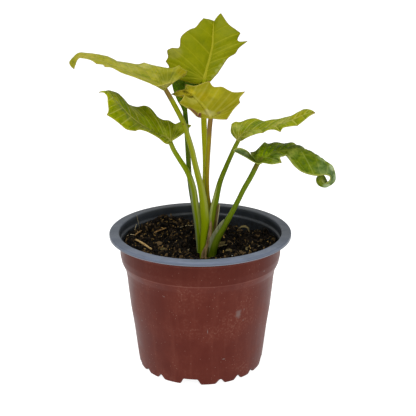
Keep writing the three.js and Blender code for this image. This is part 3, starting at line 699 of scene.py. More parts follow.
def make_soil_bed(finish):
    """The soil as a turned body that follows the wall, and then its relief from the edge inwards."""
    turns = np.linspace(0, 2 * np.pi, SOIL_SIDES, endpoint=False)
    across, ahead = np.cos(turns), np.sin(turns)

    def beside_wall(heights):
        radii = wall_radius(heights) - WALL - CLEARANCE
        return np.stack([radii * across, radii * ahead, heights], axis=1)

    edge = np.minimum(soil_top(SOIL_EDGE_RADIUS * across, SOIL_EDGE_RADIUS * ahead), SOIL_EDGE_TOP)
    floor = FLOOR_TOP + CLEARANCE
    rings = [beside_wall(np.full(SOIL_SIDES, float(z))) for z in (floor, *SOIL_LOW_RINGS)]
    rings += [beside_wall(np.minimum(top, edge - under)) for top, under in SOIL_HIGH_RINGS]
    rings.append(beside_wall(edge))
    rim = rings[-1]
    for share in np.linspace(1, 0.01, SOIL_RINGS)[1:]:
        x, y = rim[:, 0] * share, rim[:, 1] * share
        rings.append(np.stack([x, y, soil_top(x, y)], axis=1))
    middle = float(soil_height(0, 0))
    points = np.concatenate(rings + [[[0, 0, floor], [0, 0, middle]]])
    return make_piece("soil_bed", points, turned_faces(len(rings), SOIL_SIDES), [finish])


def soil_finish():
    """Dark peat in soft clods with a few lighter specks."""
    f = Finish("soil_dark_peat", colour(6, 4, 3))
    clods = f.noise(3.2, detail=6, roughness=0.7)
    specks = f.noise(0.9, detail=4, roughness=0.7, seed=4)
    f.coat(f.spread(clods, 0.35, 0.7), (26, 18, 12))
    f.coat(f.spread(specks, 0.64, 0.72, 0, 0.5), (92, 70, 42))
    return f.finish(0.9, 0.1, f.bump(specks, 0.8, 0.5, f.bump(clods, 0.9, 1.2)))


def crumb_finish(name, dark, light):
    """Loose bits, each between two colours by its own tone, and most of them near the dark one."""
    f = Finish(name, colour(*dark))
    grain = f.noise(0.7, detail=4, roughness=0.7)
    f.coat(f.maths("POWER", f.attribute("tone"), MOSTLY_DARK), light)
    f.coat(f.spread(grain, 0.4, 0.7, 0, 0.6), dark)
    return f.finish(0.9, 0.12, f.bump(grain, 0.8, 0.3))


def scatter_tree():
    """Grains thrown over a surface, each turned, stretched and dented its own way."""
    tree = bpy.data.node_groups.new("Scattered grains", "GeometryNodeTree")
    sockets = {}
    for label, kind in (
        ("Ground", "NodeSocketGeometry"), ("Grains per square metre", "NodeSocketFloat"),
        ("Seed", "NodeSocketInt"), ("Smallest", "NodeSocketVector"), ("Largest", "NodeSocketVector"),
        ("Dents", "NodeSocketFloat"), ("Dents per metre", "NodeSocketFloat"),
        ("Finish", "NodeSocketMaterial"),
    ):
        sockets[label] = tree.interface.new_socket(name=label, in_out="INPUT", socket_type=kind)
    tree.interface.new_socket(name="Grains", in_out="OUTPUT", socket_type="NodeSocketGeometry")

    node = partial(new_node, tree)
    given = node("NodeGroupInput").outputs
    points = node(
        "GeometryNodeDistributePointsOnFaces",
        {"Mesh": given["Ground"], "Density": given["Grains per square metre"], "Seed": given["Seed"]},
        distribute_method="RANDOM",
    )
    grain = node("GeometryNodeMeshIcoSphere", {"Radius": 1, "Subdivisions": 1})
    size = node(
        "FunctionNodeRandomValue", {0: given["Smallest"], 1: given["Largest"]}, data_type="FLOAT_VECTOR"
    )
    turn = node(
        "FunctionNodeRandomValue",
        {1: (math.tau, math.tau, math.tau), "Seed": TURN_SEED},
        data_type="FLOAT_VECTOR",
    )
    placed = node("GeometryNodeInstanceOnPoints", {
        "Points": points.outputs["Points"],
        "Instance": grain.outputs["Mesh"],
        "Rotation": turn.outputs[0],
        "Scale": size.outputs[0],
    })
    tone = node("FunctionNodeRandomValue", {"Seed": TONE_SEED}, data_type="FLOAT")
    toned = node(
        "GeometryNodeStoreNamedAttribute",
        {"Name": "tone", "Geometry": placed.outputs[0], "Value": tone.outputs[1]},
        data_type="FLOAT",
        domain="INSTANCE",
    )
    real = node("GeometryNodeRealizeInstances", {0: toned.outputs[0]})
    place = node("GeometryNodeInputPosition")
    finer = node(
        "ShaderNodeVectorMath", {0: place.outputs[0], "Scale": given["Dents per metre"]}, operation="SCALE"
    )
    dents = node("ShaderNodeTexNoise", {"Vector": finer.outputs[0], "Scale": 1})
    centred = node(
        "ShaderNodeVectorMath", {0: dents.outputs["Color"], 1: (0.5, 0.5, 0.5)}, operation="SUBTRACT"
    )
    sized = node("ShaderNodeVectorMath", {0: centred.outputs[0], "Scale": given["Dents"]}, operation="SCALE")
    dented = node("GeometryNodeSetPosition", {"Geometry": real.outputs[0], "Offset": sized.outputs[0]})
    coloured = node("GeometryNodeSetMaterial", {"Geometry": dented.outputs[0], "Material": given["Finish"]})
    node("NodeGroupOutput", {0: coloured.outputs[0]})
    return tree, sockets


def scatter(name, ground, tree, sockets, values):
    """Runs the grains' tree on the ground and keeps what it makes as a plain mesh piece."""
    modifier = ground.modifiers.new(name, "NODES")
    modifier.node_group = tree
    for label, value in values.items():
        modifier[sockets[label].identifier] = value
    graph = bpy.context.evaluated_depsgraph_get()
    mesh = bpy.data.meshes.new_from_object(ground.evaluated_get(graph))
    ground.modifiers.remove(modifier)
    mesh.name = name
    return add_object(name, mesh)


# Grains: smallest and largest are half sizes, and dents is the farthest that a dent moves a point
SOIL_GRAINS = [
    {
        "name": "peat_crumbs", "slot": "potting_mix", "per_square_metre": 330000, "seed": 3,
        "smallest": 0.5, "largest": 1.9, "stretch": (1, 1, 0.8), "dents": 0.6,
        "dark": (3, 2, 1), "light": (42, 31, 20),
    },
    {
        "name": "bark_chips", "slot": "potting_mix", "per_square_metre": 54000, "seed": 8,
        "smallest": 0.5, "largest": 3.1, "stretch": (1.3, 0.65, 0.35), "dents": 0.6,
        "dark": (10, 7, 4), "light": (124, 100, 66),
    },
    {
        "name": "golden_crumbs", "slot": "straw", "per_square_metre": 74000, "seed": 15,
        "smallest": 0.3, "largest": 1.4, "stretch": (1.5, 0.7, 0.5), "dents": 0.4,
        "dark": (46, 34, 12), "light": (190, 154, 86),
    },
    {
        "name": "fine_fibres", "slot": "straw", "per_square_metre": 26000, "seed": 21,
        "smallest": 0.14, "largest": 0.26, "stretch": (14, 1, 1), "dents": 0.9,
        "dark": (70, 54, 30), "light": (150, 122, 76),
    },
    {
        "name": "pale_grit", "slot": "potting_mix", "per_square_metre": 2200, "seed": 31,
        "smallest": 0.3, "largest": 0.85, "stretch": (1, 1, 1), "dents": 0.3,
        "dark": (150, 146, 132), "light": (216, 212, 200),
    },
]


def make_soil_grains(bed):
    ground = add_object("grain_ground", upper_faces(bed.data))
    tree, sockets = scatter_tree()
    for grain in SOIL_GRAINS:
        stretch = np.array(grain["stretch"]) * MM
        piece = scatter(grain["name"], ground, tree, sockets, {
            "Grains per square metre": float(grain["per_square_metre"]),
            "Seed": grain["seed"],
            "Smallest": tuple(stretch * grain["smallest"]),
            "Largest": tuple(stretch * grain["largest"]),
            "Dents": 2 * grain["dents"] * MM,
            "Dents per metre": DENTS_PER_METRE,
            "Finish": crumb_finish(grain["name"], grain["dark"], grain["light"]),
        })
        settle(piece, grain["slot"])
    bpy.data.objects.remove(ground)


def upper_faces(mesh):
    """A mesh of only the soil's upper faces, clear of the pot's wall."""
    keep = []
    for polygon in mesh.polygons:
        x, y, z = polygon.center / MM
        clear = math.hypot(x, y) < GRAIN_EDGE_RADIUS and z > GRAINS_ABOVE
        if clear and polygon.normal.z > LEAST_UPWARD:
            keep.append(tuple(polygon.vertices))
    top = bpy.data.meshes.new("soil_top")
    top.from_pydata([tuple(v.co) for v in mesh.vertices], [], keep)
    return top


# Leaves

STALK_FOOT = 60
RIB_STATIONS = 180
MARGIN_STEP = 0.75
BLADE_ROWS = 14
BLADE_THICKNESS = 0.5
EDGE_WIDTH = 1.2
EDGE_THINNING = 0.4
FULL_CUP_WIDTH = 20
USUAL_CUP = {"left": 1.5, "right": 1.5}
VEIN_SWEEP = math.radians(58)
VEIN_SPACING = 9
VEIN_HOLLOW = 2.6
MINOR_HOLLOW = 1.5
LEAST_MINOR_GAP = 6
ROOT_BLUR = 6
# The distance to a vein where a side has none, the one from veins and margin that the rib and the stalk
# are given, and the deepest one from the margin that is kept
FAR_AWAY = 99.0
OFF_VEIN = 9.0
DEEPEST_MARGIN = 40
# The left side's fine lines start this far along, so that they differ from those of the right side
LEFT_RULING = 300
STALK_SIDES = 18
STALK_STEP = 1.2
STALK_BLUR = 5
CHANNEL = {"depth": 0.22, "from": 0.25, "full": 0.6}
RIDGE = {"end": 0.96, "slim_at": 0.8, "slim_radius": 0.5, "end_radius": 0.26, "rise": 0.42, "blur": 6}
UPPER, UNDER, STALK = 0, 1, 2
BLADE_KEYS = ("vein", "minor", "rib", "margin", "tip", "along", "outward", "ruling", "up_stalk", "aside")
OFF_VEIN_KEYS = ("vein", "minor", "margin")

# Each leaf: how far the blade rises between its veins and how far each side of it bulges, radii along
# the stalk, and points of the stalk, the rib and the two margins. A margin point with a fourth value of 1
# is the tip of a lobe.
LEAVES = [
    {
        "name": "leaf_upper_left",
        "quilt": 0.2,
        "slot": "leaf_olive",
        "radii": (2, 2.1, 2.95, 2.3, 1.95, 1.8, 1.7),
        "cup": {"left": 1, "right": 1.5},
        "stalk": [
            (1.6, -7, STALK_FOOT), (1.7, -7, 76.7), (2.2, -7, 88), (2.8, -7, 94), (3.1, -7, 100.3),
            (2.7, -7.2, 107.3), (2, -7.6, 115.6), (0.5, -8.4, 125.3), (-1.4, -9.2, 133.5),
            (-3.3, -9.9, 141.7), (-4.9, -10.7, 149.7), (-7.4, -12, 158.7), (-10.4, -13.5, 168.5),
            (-15.5, -15, 179.4), (-21, -16.5, 190),
        ],
        "rib": [
            (-28.5, -16, 194), (-37.5, -14.5, 197.5), (-46, -12.5, 200.5), (-55.5, -9.5, 204),
            (-63, -6.5, 206.5), (-69.5, -3.5, 207.5), (-74.5, -1, 207.5), (-78.5, 1, 206),
            (-79.5, 2, 203), (-79, 2, 199),
        ],
        "right": [
            (-17, -12, 193), (-13.5, -6, 194.5), (-9, 0, 195.5), (-8, 2, 197.5, 1), (-11, 2, 199),
            (-13, 4, 201, 1), (-17.5, 5, 199), (-25.5, 8, 199.5), (-31, 9, 200.5),
            (-35.5, 11, 201.5, 1), (-39.5, 11, 200.5), (-46, 11, 201.5), (-54, 11, 202.5, 1),
            (-59, 10, 205.5), (-64, 10, 206.5), (-72, 8, 208), (-76, 6.5, 208.5), (-79, 5, 206.5),
            (-82, 3.5, 203), (-81, 3, 200.5),
        ],
        "left": [
            (-19, -21, 192.5), (-17, -27, 195), (-16.5, -31, 197, 1), (-20, -34, 196.5),
            (-25.5, -36, 195.5), (-30.5, -36, 197.5), (-35.5, -36, 199.5, 1), (-39, -34, 200.5),
            (-46.5, -31, 202.5), (-53, -27, 205), (-57, -25, 205, 1), (-58, -24, 206),
            (-62.5, -20, 206, 1), (-66, -16, 207.5), (-72.5, -8, 207.5), (-75.5, -5, 207),
            (-77.5, -1, 202.5),
        ],
    },
    {
        "name": "leaf_top",
        "quilt": 0.12,
        "vein_spacing": 17,
        "slot": "leaf_olive",
        "radii": (1.8, 1.9, 1.9),
        "stalk": [
            (3, 9, STALK_FOOT), (3, 9, 100), (3.3, 10, 118), (3.5, 11, 138), (2.8, 12, 155),
            (2.4, 12.8, 168.5), (2.5, 13.5, 182), (3, 14, 190),
        ],
        "rib": [
            (4.5, 18, 196), (6, 21, 201), (7, 24, 205), (8, 26, 209), (8.5, 31, 215.5), (9, 36, 221),
            (9.5, 41, 223.5), (9.5, 47, 222), (9, 53, 217), (8.5, 58, 211),
        ],
        "right": [
            (6, 12, 188.2), (11.5, 14, 194, 1), (14.5, 17, 198), (18.5, 20, 203), (23, 22, 205.5),
            (25, 23, 208.5), (31, 25, 213, 1), (25.5, 27, 212.5), (24.5, 28, 213.5),
            (26.5, 30, 217.5, 1), (23.5, 32, 219.5), (19, 35, 222.5), (14, 41, 229, 1), (12, 46, 224),
            (13, 51, 220, 1), (11, 55, 215),
        ],
        "left": [
            (-0.5, 12.5, 187.2), (-6, 12.5, 188.1), (-12, 12.5, 190), (-17.5, 13, 191.2, 1),
            (-19.5, 14, 196), (-20, 15, 198.5), (-22, 16, 201.5, 1), (-20.5, 17, 204), (-21, 19, 208),
            (-18, 20, 209.5, 1), (-13.5, 21, 209.5), (-12.5, 25, 215), (-11, 27, 217), (-6.5, 29, 220),
            (-3, 31, 221), (0, 35, 224), (2.5, 39, 226, 1), (5, 45, 224), (5, 50, 220, 1),
            (6.5, 54, 215),
        ],
    },
    {
        "name": "leaf_lower_left",
        "quilt": 0.5,
        "slot": "leaf_green",
        "radii": (1.5, 1.6, 2.4, 2.7, 2.2, 1.7, 1.6),
        "stalk": [
            (-0.4, -2, STALK_FOOT), (-0.6, -2, 74.7), (-0.9, -2, 86), (-1.3, -2, 94),
            (-1.9, -2.1, 101), (-3.1, -2.6, 110.6), (-4.5, -3.1, 122), (-7.6, -4.1, 132.5),
            (-13.4, -5, 142.6), (-17, -5.5, 149), (-18.8, -6, 154),
        ],
        "rib": [
            (-22, -7, 157), (-26.5, -9, 159), (-32.5, -12, 163.5), (-40, -15, 169.5),
            (-44.5, -18, 174.5), (-49, -21, 181), (-54, -24, 187.5), (-56.5, -26.5, 190.5),
            (-60.5, -30, 190.5),
        ],
        "right": [
            (-16.5, -3, 156), (-13.5, -1, 157.5), (-10.5, 1, 158), (-5.5, 3, 162.5, 1), (-9, 3, 163.5),
            (-12.5, 4, 164.5), (-16, 5, 163), (-20, 6, 165), (-24, 6, 165.5), (-28.5, 6, 168.5),
            (-32, 7, 173), (-35.5, 7, 174.5), (-40.5, 6, 174), (-46, 3, 176.5), (-49, -1, 180.5),
            (-51, -6, 185), (-53.5, -10, 187), (-56, -16, 189), (-58, -24, 190),
        ],
        "left": [
            (-18, -9, 153.5), (-20, -13, 154), (-22, -16, 155.5), (-25.5, -19, 159.5, 1),
            (-29, -22, 162.5), (-33.5, -25, 165.5), (-37.5, -28, 167), (-39.5, -29, 166.5, 1),
            (-44.5, -31, 168), (-48, -33, 171.5, 1), (-51.5, -35, 175), (-55.5, -38, 178.5, 1),
            (-54.5, -37, 181), (-55, -35, 185.5), (-55.5, -32, 188.5), (-57.5, -31, 190.5),
        ],
    },
    {
        "name": "leaf_front",
        "quilt": 0.25,
        "slot": "leaf_olive",
        "radii": (1.6, 1.4, 1.6),
        "stalk": [
            (5, 3.5, STALK_FOOT), (5.5, 3.5, 76), (6.5, 3.9, 88), (7, 4.1, 98), (6.2, 3.7, 107),
            (4.9, 0.4, 116), (4.4, -5, 129.6), (4.8, -8, 142.5), (5.5, -12.5, 156), (6, -18, 167),
            (6.5, -20, 172.5),
        ],
        "rib": [
            (4.5, -17, 175.5), (2, -14, 178.5), (-2.5, -8, 182), (-5.5, -3, 184.5), (-9, -1, 185.5),
            (-12, -3, 185.5), (-18, -6, 184.5),
        ],
        "left": [
            (9.5, -22, 172.5), (14.5, -24, 172.5), (16.5, -24, 172.5, 1), (21, -17, 177.5),
            (25, -12, 180.5, 1), (24.5, -11, 182.5), (28, -8, 186.5, 1), (23, -5, 185.5),
            (20.5, -4, 185.5), (17.5, -2, 186.5), (14, 0, 188), (8.5, 1, 188), (5.9, 3, 191.2, 1),
            (0.5, 2, 189.5), (-3, 1, 188.5), (-6, 0, 189), (-9, -1, 190, 1), (-9.5, -2, 187),
            (-14, -3, 186.5, 1), (-15.5, -4.5, 185.5),
        ],
        "right": [
            (5, -22, 174.5), (-0.5, -24, 177), (-2, -25, 174.5, 1), (-6, -24.5, 178.5), (-8, -24, 180),
            (-13, -22, 182.5, 1), (-11, -17, 183.5), (-10, -10, 185), (-12, -7, 184),
            (-15.5, -6.5, 184.2),
        ],
    },
    {
        "name": "leaf_upper_right",
        "quilt": 0.5,
        "slot": "leaf_green",
        "radii": (1.9, 1.9, 2.3, 2.7, 1.95, 1.6, 1.6),
        "stalk": [
            (4.6, -1.5, STALK_FOOT), (5.7, -1.2, 74.3), (6.7, -1, 85.7), (7.6, -1, 98.3),
            (8.6, -0.6, 106.6), (10.3, 0.4, 115), (12.8, 1, 125.3), (16.5, 1, 135), (20.6, 0.8, 144.8),
            (24.3, 0, 153.2),
        ],
        "rib": [
            (26.6, -0.6, 156.4), (29.2, -1.2, 158.7), (33, -2, 160), (38, -4, 160.5), (43, -6, 162.5),
            (50.5, -9, 165.5), (56, -12, 168.5), (61.5, -14, 171.5), (67, -17, 174.5),
            (71, -20, 175.5),
        ],
        "left": [
            (23, 3, 154.5), (20, 8, 156.5), (20.5, 11, 161.5, 1), (23, 13, 162.5), (26, 14, 162),
            (31.5, 14, 164), (36, 14, 164.5), (42, 12, 163), (47, 10, 164.5), (52, 8, 165.5),
            (57, 5, 167.5), (61, 1, 169.5), (65, -7, 175, 1), (67, -11, 176), (69.5, -15, 176),
        ],
        "right": [
            (25, -4, 154), (26.5, -8, 155), (28.5, -12, 157.5), (32, -15, 160), (36.5, -17, 162),
            (39, -18, 162.5, 1), (42, -19, 164.5), (46, -20, 165), (49.5, -22, 164, 1),
            (51, -22, 166.5), (55, -22, 167.5), (60, -22, 168, 1), (63.5, -21, 170.5), (67, -21, 173.5),
        ],
    },
    {
        "name": "leaf_lower_right",
        "quilt": 0.7,
        "slot": "leaf_green",
        "radii": (2.9, 3, 2.8, 1.95, 1.75, 1.8, 1.8),
        "cup": {"left": 1.5, "right": 1},
        "stalk": [
            (6.4, -9.5, STALK_FOOT), (7.3, -9.5, 75), (8, -9.5, 81.8), (10.2, -9.5, 88.8),
            (13.8, -9.6, 95.7), (17.5, -10, 102.7), (21.1, -10.6, 109.7), (24.3, -11.2, 116.6),
            (27.5, -12, 123.8), (32.3, -13.5, 133.4), (36, -15, 142),
        ],
        "rib": [
            (39, -15, 145), (42.5, -15, 147), (47.5, -15, 149.5), (53.5, -15, 150.5),
            (59, -15.5, 151.5), (64, -16.5, 151), (68, -18, 149.5), (72.5, -20, 147.5),
            (76, -22, 145.5), (79.5, -24, 143), (82, -25, 140), (83, -26, 137), (82.5, -26, 134),
            (80, -25.5, 131.6), (77.3, -25, 130.6), (74.7, -24.6, 131.8), (74, -24.2, 134),
            (75.5, -23.8, 135.7), (77.6, -23.5, 135.2), (79.5, -23.5, 132.7),
        ],
        "left": [
            (33.5, -8, 146), (32, -6, 147, 1), (35, -4, 147), (39.5, -1, 150.5), (41.5, 0, 152),
            (43.5, 0, 151), (48.5, 0, 152), (55, 0, 151), (59.5, -1, 152), (62, -2, 150.5, 1),
            (65, -5, 150.5), (67.5, -8, 148.5, 1), (70.5, -12, 148.5), (74, -15, 147),
            (77, -18, 145.5), (80, -21, 144), (82.5, -23, 142.5), (84.5, -24, 136), (84, -24, 132.5),
            (81.5, -23.5, 130), (78, -23, 128.5), (74.3, -22.8, 129.8), (72.6, -22.6, 132.5),
            (73, -22.6, 135.3), (75, -22.6, 137), (77.5, -22.6, 136.2),
        ],
        "right": [
            (32.1, -19, 148.2), (29.8, -19.5, 151.1), (26, -20.5, 153.3), (23.2, -21.5, 153.9),
            (20, -22, 152.3, 1), (22.9, -22.5, 151), (25.4, -22.5, 149.6), (28.2, -22.5, 148.1),
            (33, -22, 145), (37, -22, 143.5), (39.5, -24, 145), (44, -26, 144.5),
            (50.5, -26, 145.5, 1), (49.5, -25, 148.5), (52, -22, 148.5), (54.5, -21, 149),
            (56, -22, 148), (56.5, -25, 145.5), (59.5, -28, 142.5), (62, -30, 141), (67, -32, 139.5),
            (71.5, -33, 139), (76.5, -31, 139), (80, -29, 137.5), (80.5, -28, 135.5),
            (79, -27.5, 133.4), (77.5, -26.6, 132.4), (76.3, -26, 132.6), (75.5, -25.6, 133.8),
            (76.2, -25, 134.4), (77.5, -24.5, 134),
        ],
    },
    {
        "name": "leaf_back",
        "quilt": 0.3,
        "slot": "leaf_dark",
        "radii": (1.4, 1.5, 1.7, 1.6),
        "stalk": [
            (-1, 7, STALK_FOOT), (-1.3, 7, 83), (-2.3, 7, 95.6), (-3.5, 7, 102.6), (-5.3, 7, 112.3),
            (-7, 7.7, 126), (-7.7, 8.8, 138.5), (-8.4, 9.8, 152), (-9, 10.5, 162), (-9.5, 11, 168.4),
        ],
        "rib": [
            (-10, 14, 172.5), (-10.5, 18, 178.5), (-10.3, 23.5, 183.8), (-8.5, 30, 189),
            (-7, 38, 194.5), (-6, 46, 199.5), (-5.5, 52, 202), (-5, 57, 203),
        ],
        "left": [
            (-11, 11, 169.5), (-12.6, 11.5, 173.3), (-14.2, 12, 175.8), (-16, 12.5, 180),
            (-17.2, 13, 183.5), (-18, 14, 187.2), (-18.4, 16, 189.4, 1), (-18, 22, 191),
            (-21, 28, 195, 1), (-17, 34, 197), (-17, 41, 201, 1), (-12, 47, 201.5), (-9, 53, 203),
        ],
        "right": [
            (-8.2, 11.5, 169.3), (-8.1, 13, 173), (-6, 15.5, 177), (-1, 19, 180), (5, 24, 183.5, 1),
            (5.5, 28, 188), (9.5, 34, 192.5, 1), (4.5, 39, 196), (5.5, 46, 199.5, 1), (1, 51, 201.5),
            (-2, 55, 203),
        ],
    },
]


def margin_line(points):
    """Fine points along a margin, smooth between its pointed lobes, and which of them are lobe tips."""
    pieces, tips, run, count = [], [], [], 0
    for i, p in enumerate(points):
        run.append(p)
        pointed = len(p) > 3
        if len(run) > 1 and (pointed or i == len(points) - 1):
            line = smooth_line(run, step=MARGIN_STEP)
            line = line if not pieces else line[1:]
            pieces.append(line)
            count += len(line)
            if pointed:
                tips.append(count - 1)
            run = [p]
    return np.concatenate(pieces), tips


def vein_roots(rib, margin):
    """The rib station that the vein to each margin point leaves from."""
    station = 0
    roots = []
    for m in margin[:-1]:
        while station < RIB_STATIONS - 1:
            along = unit(rib[station + 1] - rib[station])
            reach = m - rib[station]
            if reach @ along <= math.cos(VEIN_SWEEP) * np.linalg.norm(reach):
                break
            station += 1
        roots.append(station)
    roots = np.rint(blurred(blurred(roots, ROOT_BLUR), ROOT_BLUR)).astype(int)
    roots[0] = 0
    return np.append(roots, RIB_STATIONS)


def vein_columns(tips, last, spacing):
    """The margin points that main veins run to, at the lobe tips and evenly between them, and minor ones."""
    marks = [0] + [min(tip, last - 1) for tip in tips] + [last - 1]
    major = marks[1:-1]
    for a, b in zip(marks[:-1], marks[1:]):
        gaps = max(1, round((b - a) * MARGIN_STEP / spacing))
        major += [round(a + (b - a) * k / gaps) for k in range(1, gaps)]
    major.sort()
    spans = zip([0] + major, major + [last - 1])
    return major, [(a + b) // 2 for a, b in spans if b - a > LEAST_MINOR_GAP]


def half_blade(leaf, side, rib, margin, tips, roots):
    """One side of the blade as rows of points from the rib out to the margin, and values at each."""
    last = len(margin) - 1
    ahead = np.minimum(roots[:last] + 2, RIB_STATIONS)
    behind = np.maximum(roots[:last] - 2, 0)
    along = rib[ahead] - rib[behind]
    base = rib[roots[:last]]
    reach = margin[:last] - base
    length = np.linalg.norm(reach, axis=1)
    up = np.cross(along, reach) if side == "left" else np.cross(reach, along)
    up = unit(blurred(unit(up), 5))
    bulge = np.minimum(1, length / FULL_CUP_WIDTH) * leaf.get("cup", USUAL_CUP)[side]
    shares = np.arange(1, BLADE_ROWS + 1) / BLADE_ROWS
    rise = (bulge[:, None] * 4 * shares * (1 - shares))[..., None]
    rows = base[:, None] + reach[:, None] * shares[:, None] + up[:, None] * rise
    flat = rows.reshape(-1, 3)

    def from_veins(columns):
        away = np.full(len(flat), FAR_AWAY)
        for k in columns:
            away = np.minimum(away, nearest(flat, np.vstack([base[k], rows[k]])))
        return away

    major, minor = vein_columns(tips, last, leaf.get("vein_spacing", VEIN_SPACING))
    to_vein, to_minor = from_veins(major), from_veins(minor)
    to_rib = (length[:, None] * shares).ravel()
    outward = np.tile(shares, last)
    closest = np.minimum(np.minimum(to_vein, to_minor * MINOR_HOLLOW), to_rib)
    soft = 1 - np.exp(-(closest / VEIN_HOLLOW) ** 2)
    relief = leaf["quilt"] * soft * (1 - outward ** 4)
    flat = flat + np.repeat(up, BLADE_ROWS, axis=0) * relief[:, None]
    tip_points = margin[tips + [last]]
    ruling = np.repeat(np.arange(last) * MARGIN_STEP, BLADE_ROWS)
    return flat, {
        "vein": to_vein,
        "minor": to_minor,
        "rib": to_rib,
        "margin": np.minimum(nearest(flat, margin), DEEPEST_MARGIN),
        "tip": np.min(np.linalg.norm(flat[:, None] - tip_points[None], axis=2), axis=1),
        "along": np.repeat(roots[:last] / RIB_STATIONS, BLADE_ROWS),
        "outward": outward,
        "ruling": ruling + (LEFT_RULING if side == "left" else 0),
        "up_stalk": np.ones(len(flat)),
        "aside": np.zeros(len(flat)),
    }


def off_blade(count, **known):
    """Values at so many points of the rib or the stalk: the known ones, and far from veins and margin."""
    values = {key: np.full(count, OFF_VEIN if key in OFF_VEIN_KEYS else 0.0) for key in BLADE_KEYS}
    return {**values, **known}


def joined(parts):
    return {key: np.concatenate([part[key] for part in parts]) for key in BLADE_KEYS}


def half_faces(start, roots, left):
    """Faces between the rib, whose points come first, and one side's rows, whose points begin at start."""
    faces = []

    def add(*corners):
        faces.append(corners[::-1] if left else corners)

    columns = len(roots) - 1
    for i in range(1, columns):
        column = start + i * BLADE_ROWS
        before = column - BLADE_ROWS
        for k in range(roots[i - 1], roots[i]):
            add(k, before, k + 1)
        add(int(roots[i]), before, column)
        for j in range(BLADE_ROWS - 1):
            add(before + j, before + j + 1, column + j + 1, column + j)
    final = start + (columns - 1) * BLADE_ROWS
    for k in range(roots[columns - 1], RIB_STATIONS):
        add(k, final, k + 1)
    for j in range(BLADE_ROWS - 1):
        add(final + j, final + j + 1, RIB_STATIONS)
    return faces


def leaf_blade(leaf, rib):
    """The blade's middle sheet: points, triangles and quads facing up, and values at each point."""
    stations = len(rib)
    to_tip = np.linalg.norm(rib - rib[-1], axis=1)
    along = np.linspace(0, 1, stations)
    points, faces, start = [rib], [], stations
    values = [off_blade(stations, tip=to_tip, along=along, up_stalk=np.ones(stations))]
    for side in ("left", "right"):
        margin, tips = margin_line(leaf[side] + [leaf["rib"][-1]])
        roots = vein_roots(rib, margin)
        flat, found = half_blade(leaf, side, rib, margin, tips, roots)
        faces += half_faces(start, roots, side == "left")
        points.append(flat)
        values.append(found)
        start += len(flat)
    return np.concatenate(points), faces, joined(values)


def leaf_stalk(leaf, rib, blade_up):
    """The stalk and, past the neck, the rib's ridge: low above the blade and full below it."""
    stalk = smooth_line(leaf["stalk"], step=STALK_STEP)
    run = np.linspace(0, 1, len(stalk))
    radii = leaf["radii"]
    radius = blurred(np.interp(run, np.linspace(0, 1, len(radii)), radii), STALK_BLUR)
    on_ridge = slice(2, int(RIDGE["end"] * RIB_STATIONS), 2)
    ridge = rib[on_ridge]
    ridge_run = np.linspace(0, 1, len(ridge))
    ridge_radius = np.interp(
        ridge_run, [0, RIDGE["slim_at"], 1], [radii[-1], RIDGE["slim_radius"], RIDGE["end_radius"]]
    )
    ridge_up = unit(blurred(blade_up, RIDGE["blur"]))[on_ridge]
    back_ups, _ = carried_frames(stalk[::-1], ridge_up[0])
    line = np.concatenate([stalk, ridge])
    ups = unit(blurred(np.concatenate([back_ups[::-1], ridge_up]), 3))
    along = unit(np.gradient(line, axis=0))
    ups = unit(ups - along * np.einsum("ij,ij->i", ups, along)[:, None])
    half = np.concatenate([radius, ridge_radius])
    up_stalk = np.concatenate([run, np.ones(len(ridge))])
    on_blade = np.concatenate([eased(run, 0.94, 1) * 0.5, np.clip(0.5 + ridge_run * 6, 0, 1)])
    channel = 1 - CHANNEL["depth"] * (1 - on_blade) * eased(up_stalk, CHANNEL["from"], CHANNEL["full"])
    above = half * (channel * (1 - on_blade) + RIDGE["rise"] * on_blade)
    rings = tube_rings(line, ups, np.cross(along, ups), half, above, half, STALK_SIDES)
    points = rings.reshape(-1, 3)
    ridge_from = len(stalk) - 1
    materials = [
        STALK if i < ridge_from else UPPER for i in range(len(line) - 1) for _ in range(STALK_SIDES)
    ]
    values = off_blade(
        len(points),
        tip=np.linalg.norm(points - rib[-1], axis=1),
        along=np.repeat(np.concatenate([0 * run, ridge_run * RIDGE["end"]]), STALK_SIDES),
        up_stalk=np.repeat(up_stalk, STALK_SIDES),
        aside=((rings - line[:, None])[..., 0] / half[:, None]).ravel(),
    )
    return points, tube_faces(len(line), STALK_SIDES), materials + [STALK, UPPER], values


def make_leaf(leaf, finishes):
    """One leaf: its blade as a closed plate, and its stalk, which runs into the rib."""
    rib = smooth_line([leaf["stalk"][-1]] + leaf["rib"], count=RIB_STATIONS)
    sheet, faces, values = leaf_blade(leaf, rib)
    normals = sheet_normals(sheet, faces)
    thin = 1 - EDGE_THINNING * eased(-values["margin"], -EDGE_WIDTH, 0)
    offset = normals * (BLADE_THICKNESS / 2 * thin)[:, None]
    blade_faces = plate_faces(faces, len(sheet))
    rim_faces = len(blade_faces) - 2 * len(faces)
    stalk_points, stalk_faces, stalk_materials, stalk_values = leaf_stalk(leaf, rib, normals[:len(rib)])
    return make_piece(
        leaf["name"] + "_fine",
        np.concatenate([sheet + offset, sheet - offset, stalk_points]),
        blade_faces + shifted(stalk_faces, 2 * len(sheet)),
        finishes,
        [UPPER] * len(faces) + [UNDER] * len(faces) + [UPPER] * rim_faces + stalk_materials,
        joined([values, values, stalk_values]),
    )


USUAL_LOOK = {
    "patch": 7, "tip_reach": 1, "neck_from": 0.9, "vein_width": 1, "edge_width": 0.75, "relief": 1,
    "washes_and_painted_light": [], "spots": [],
}
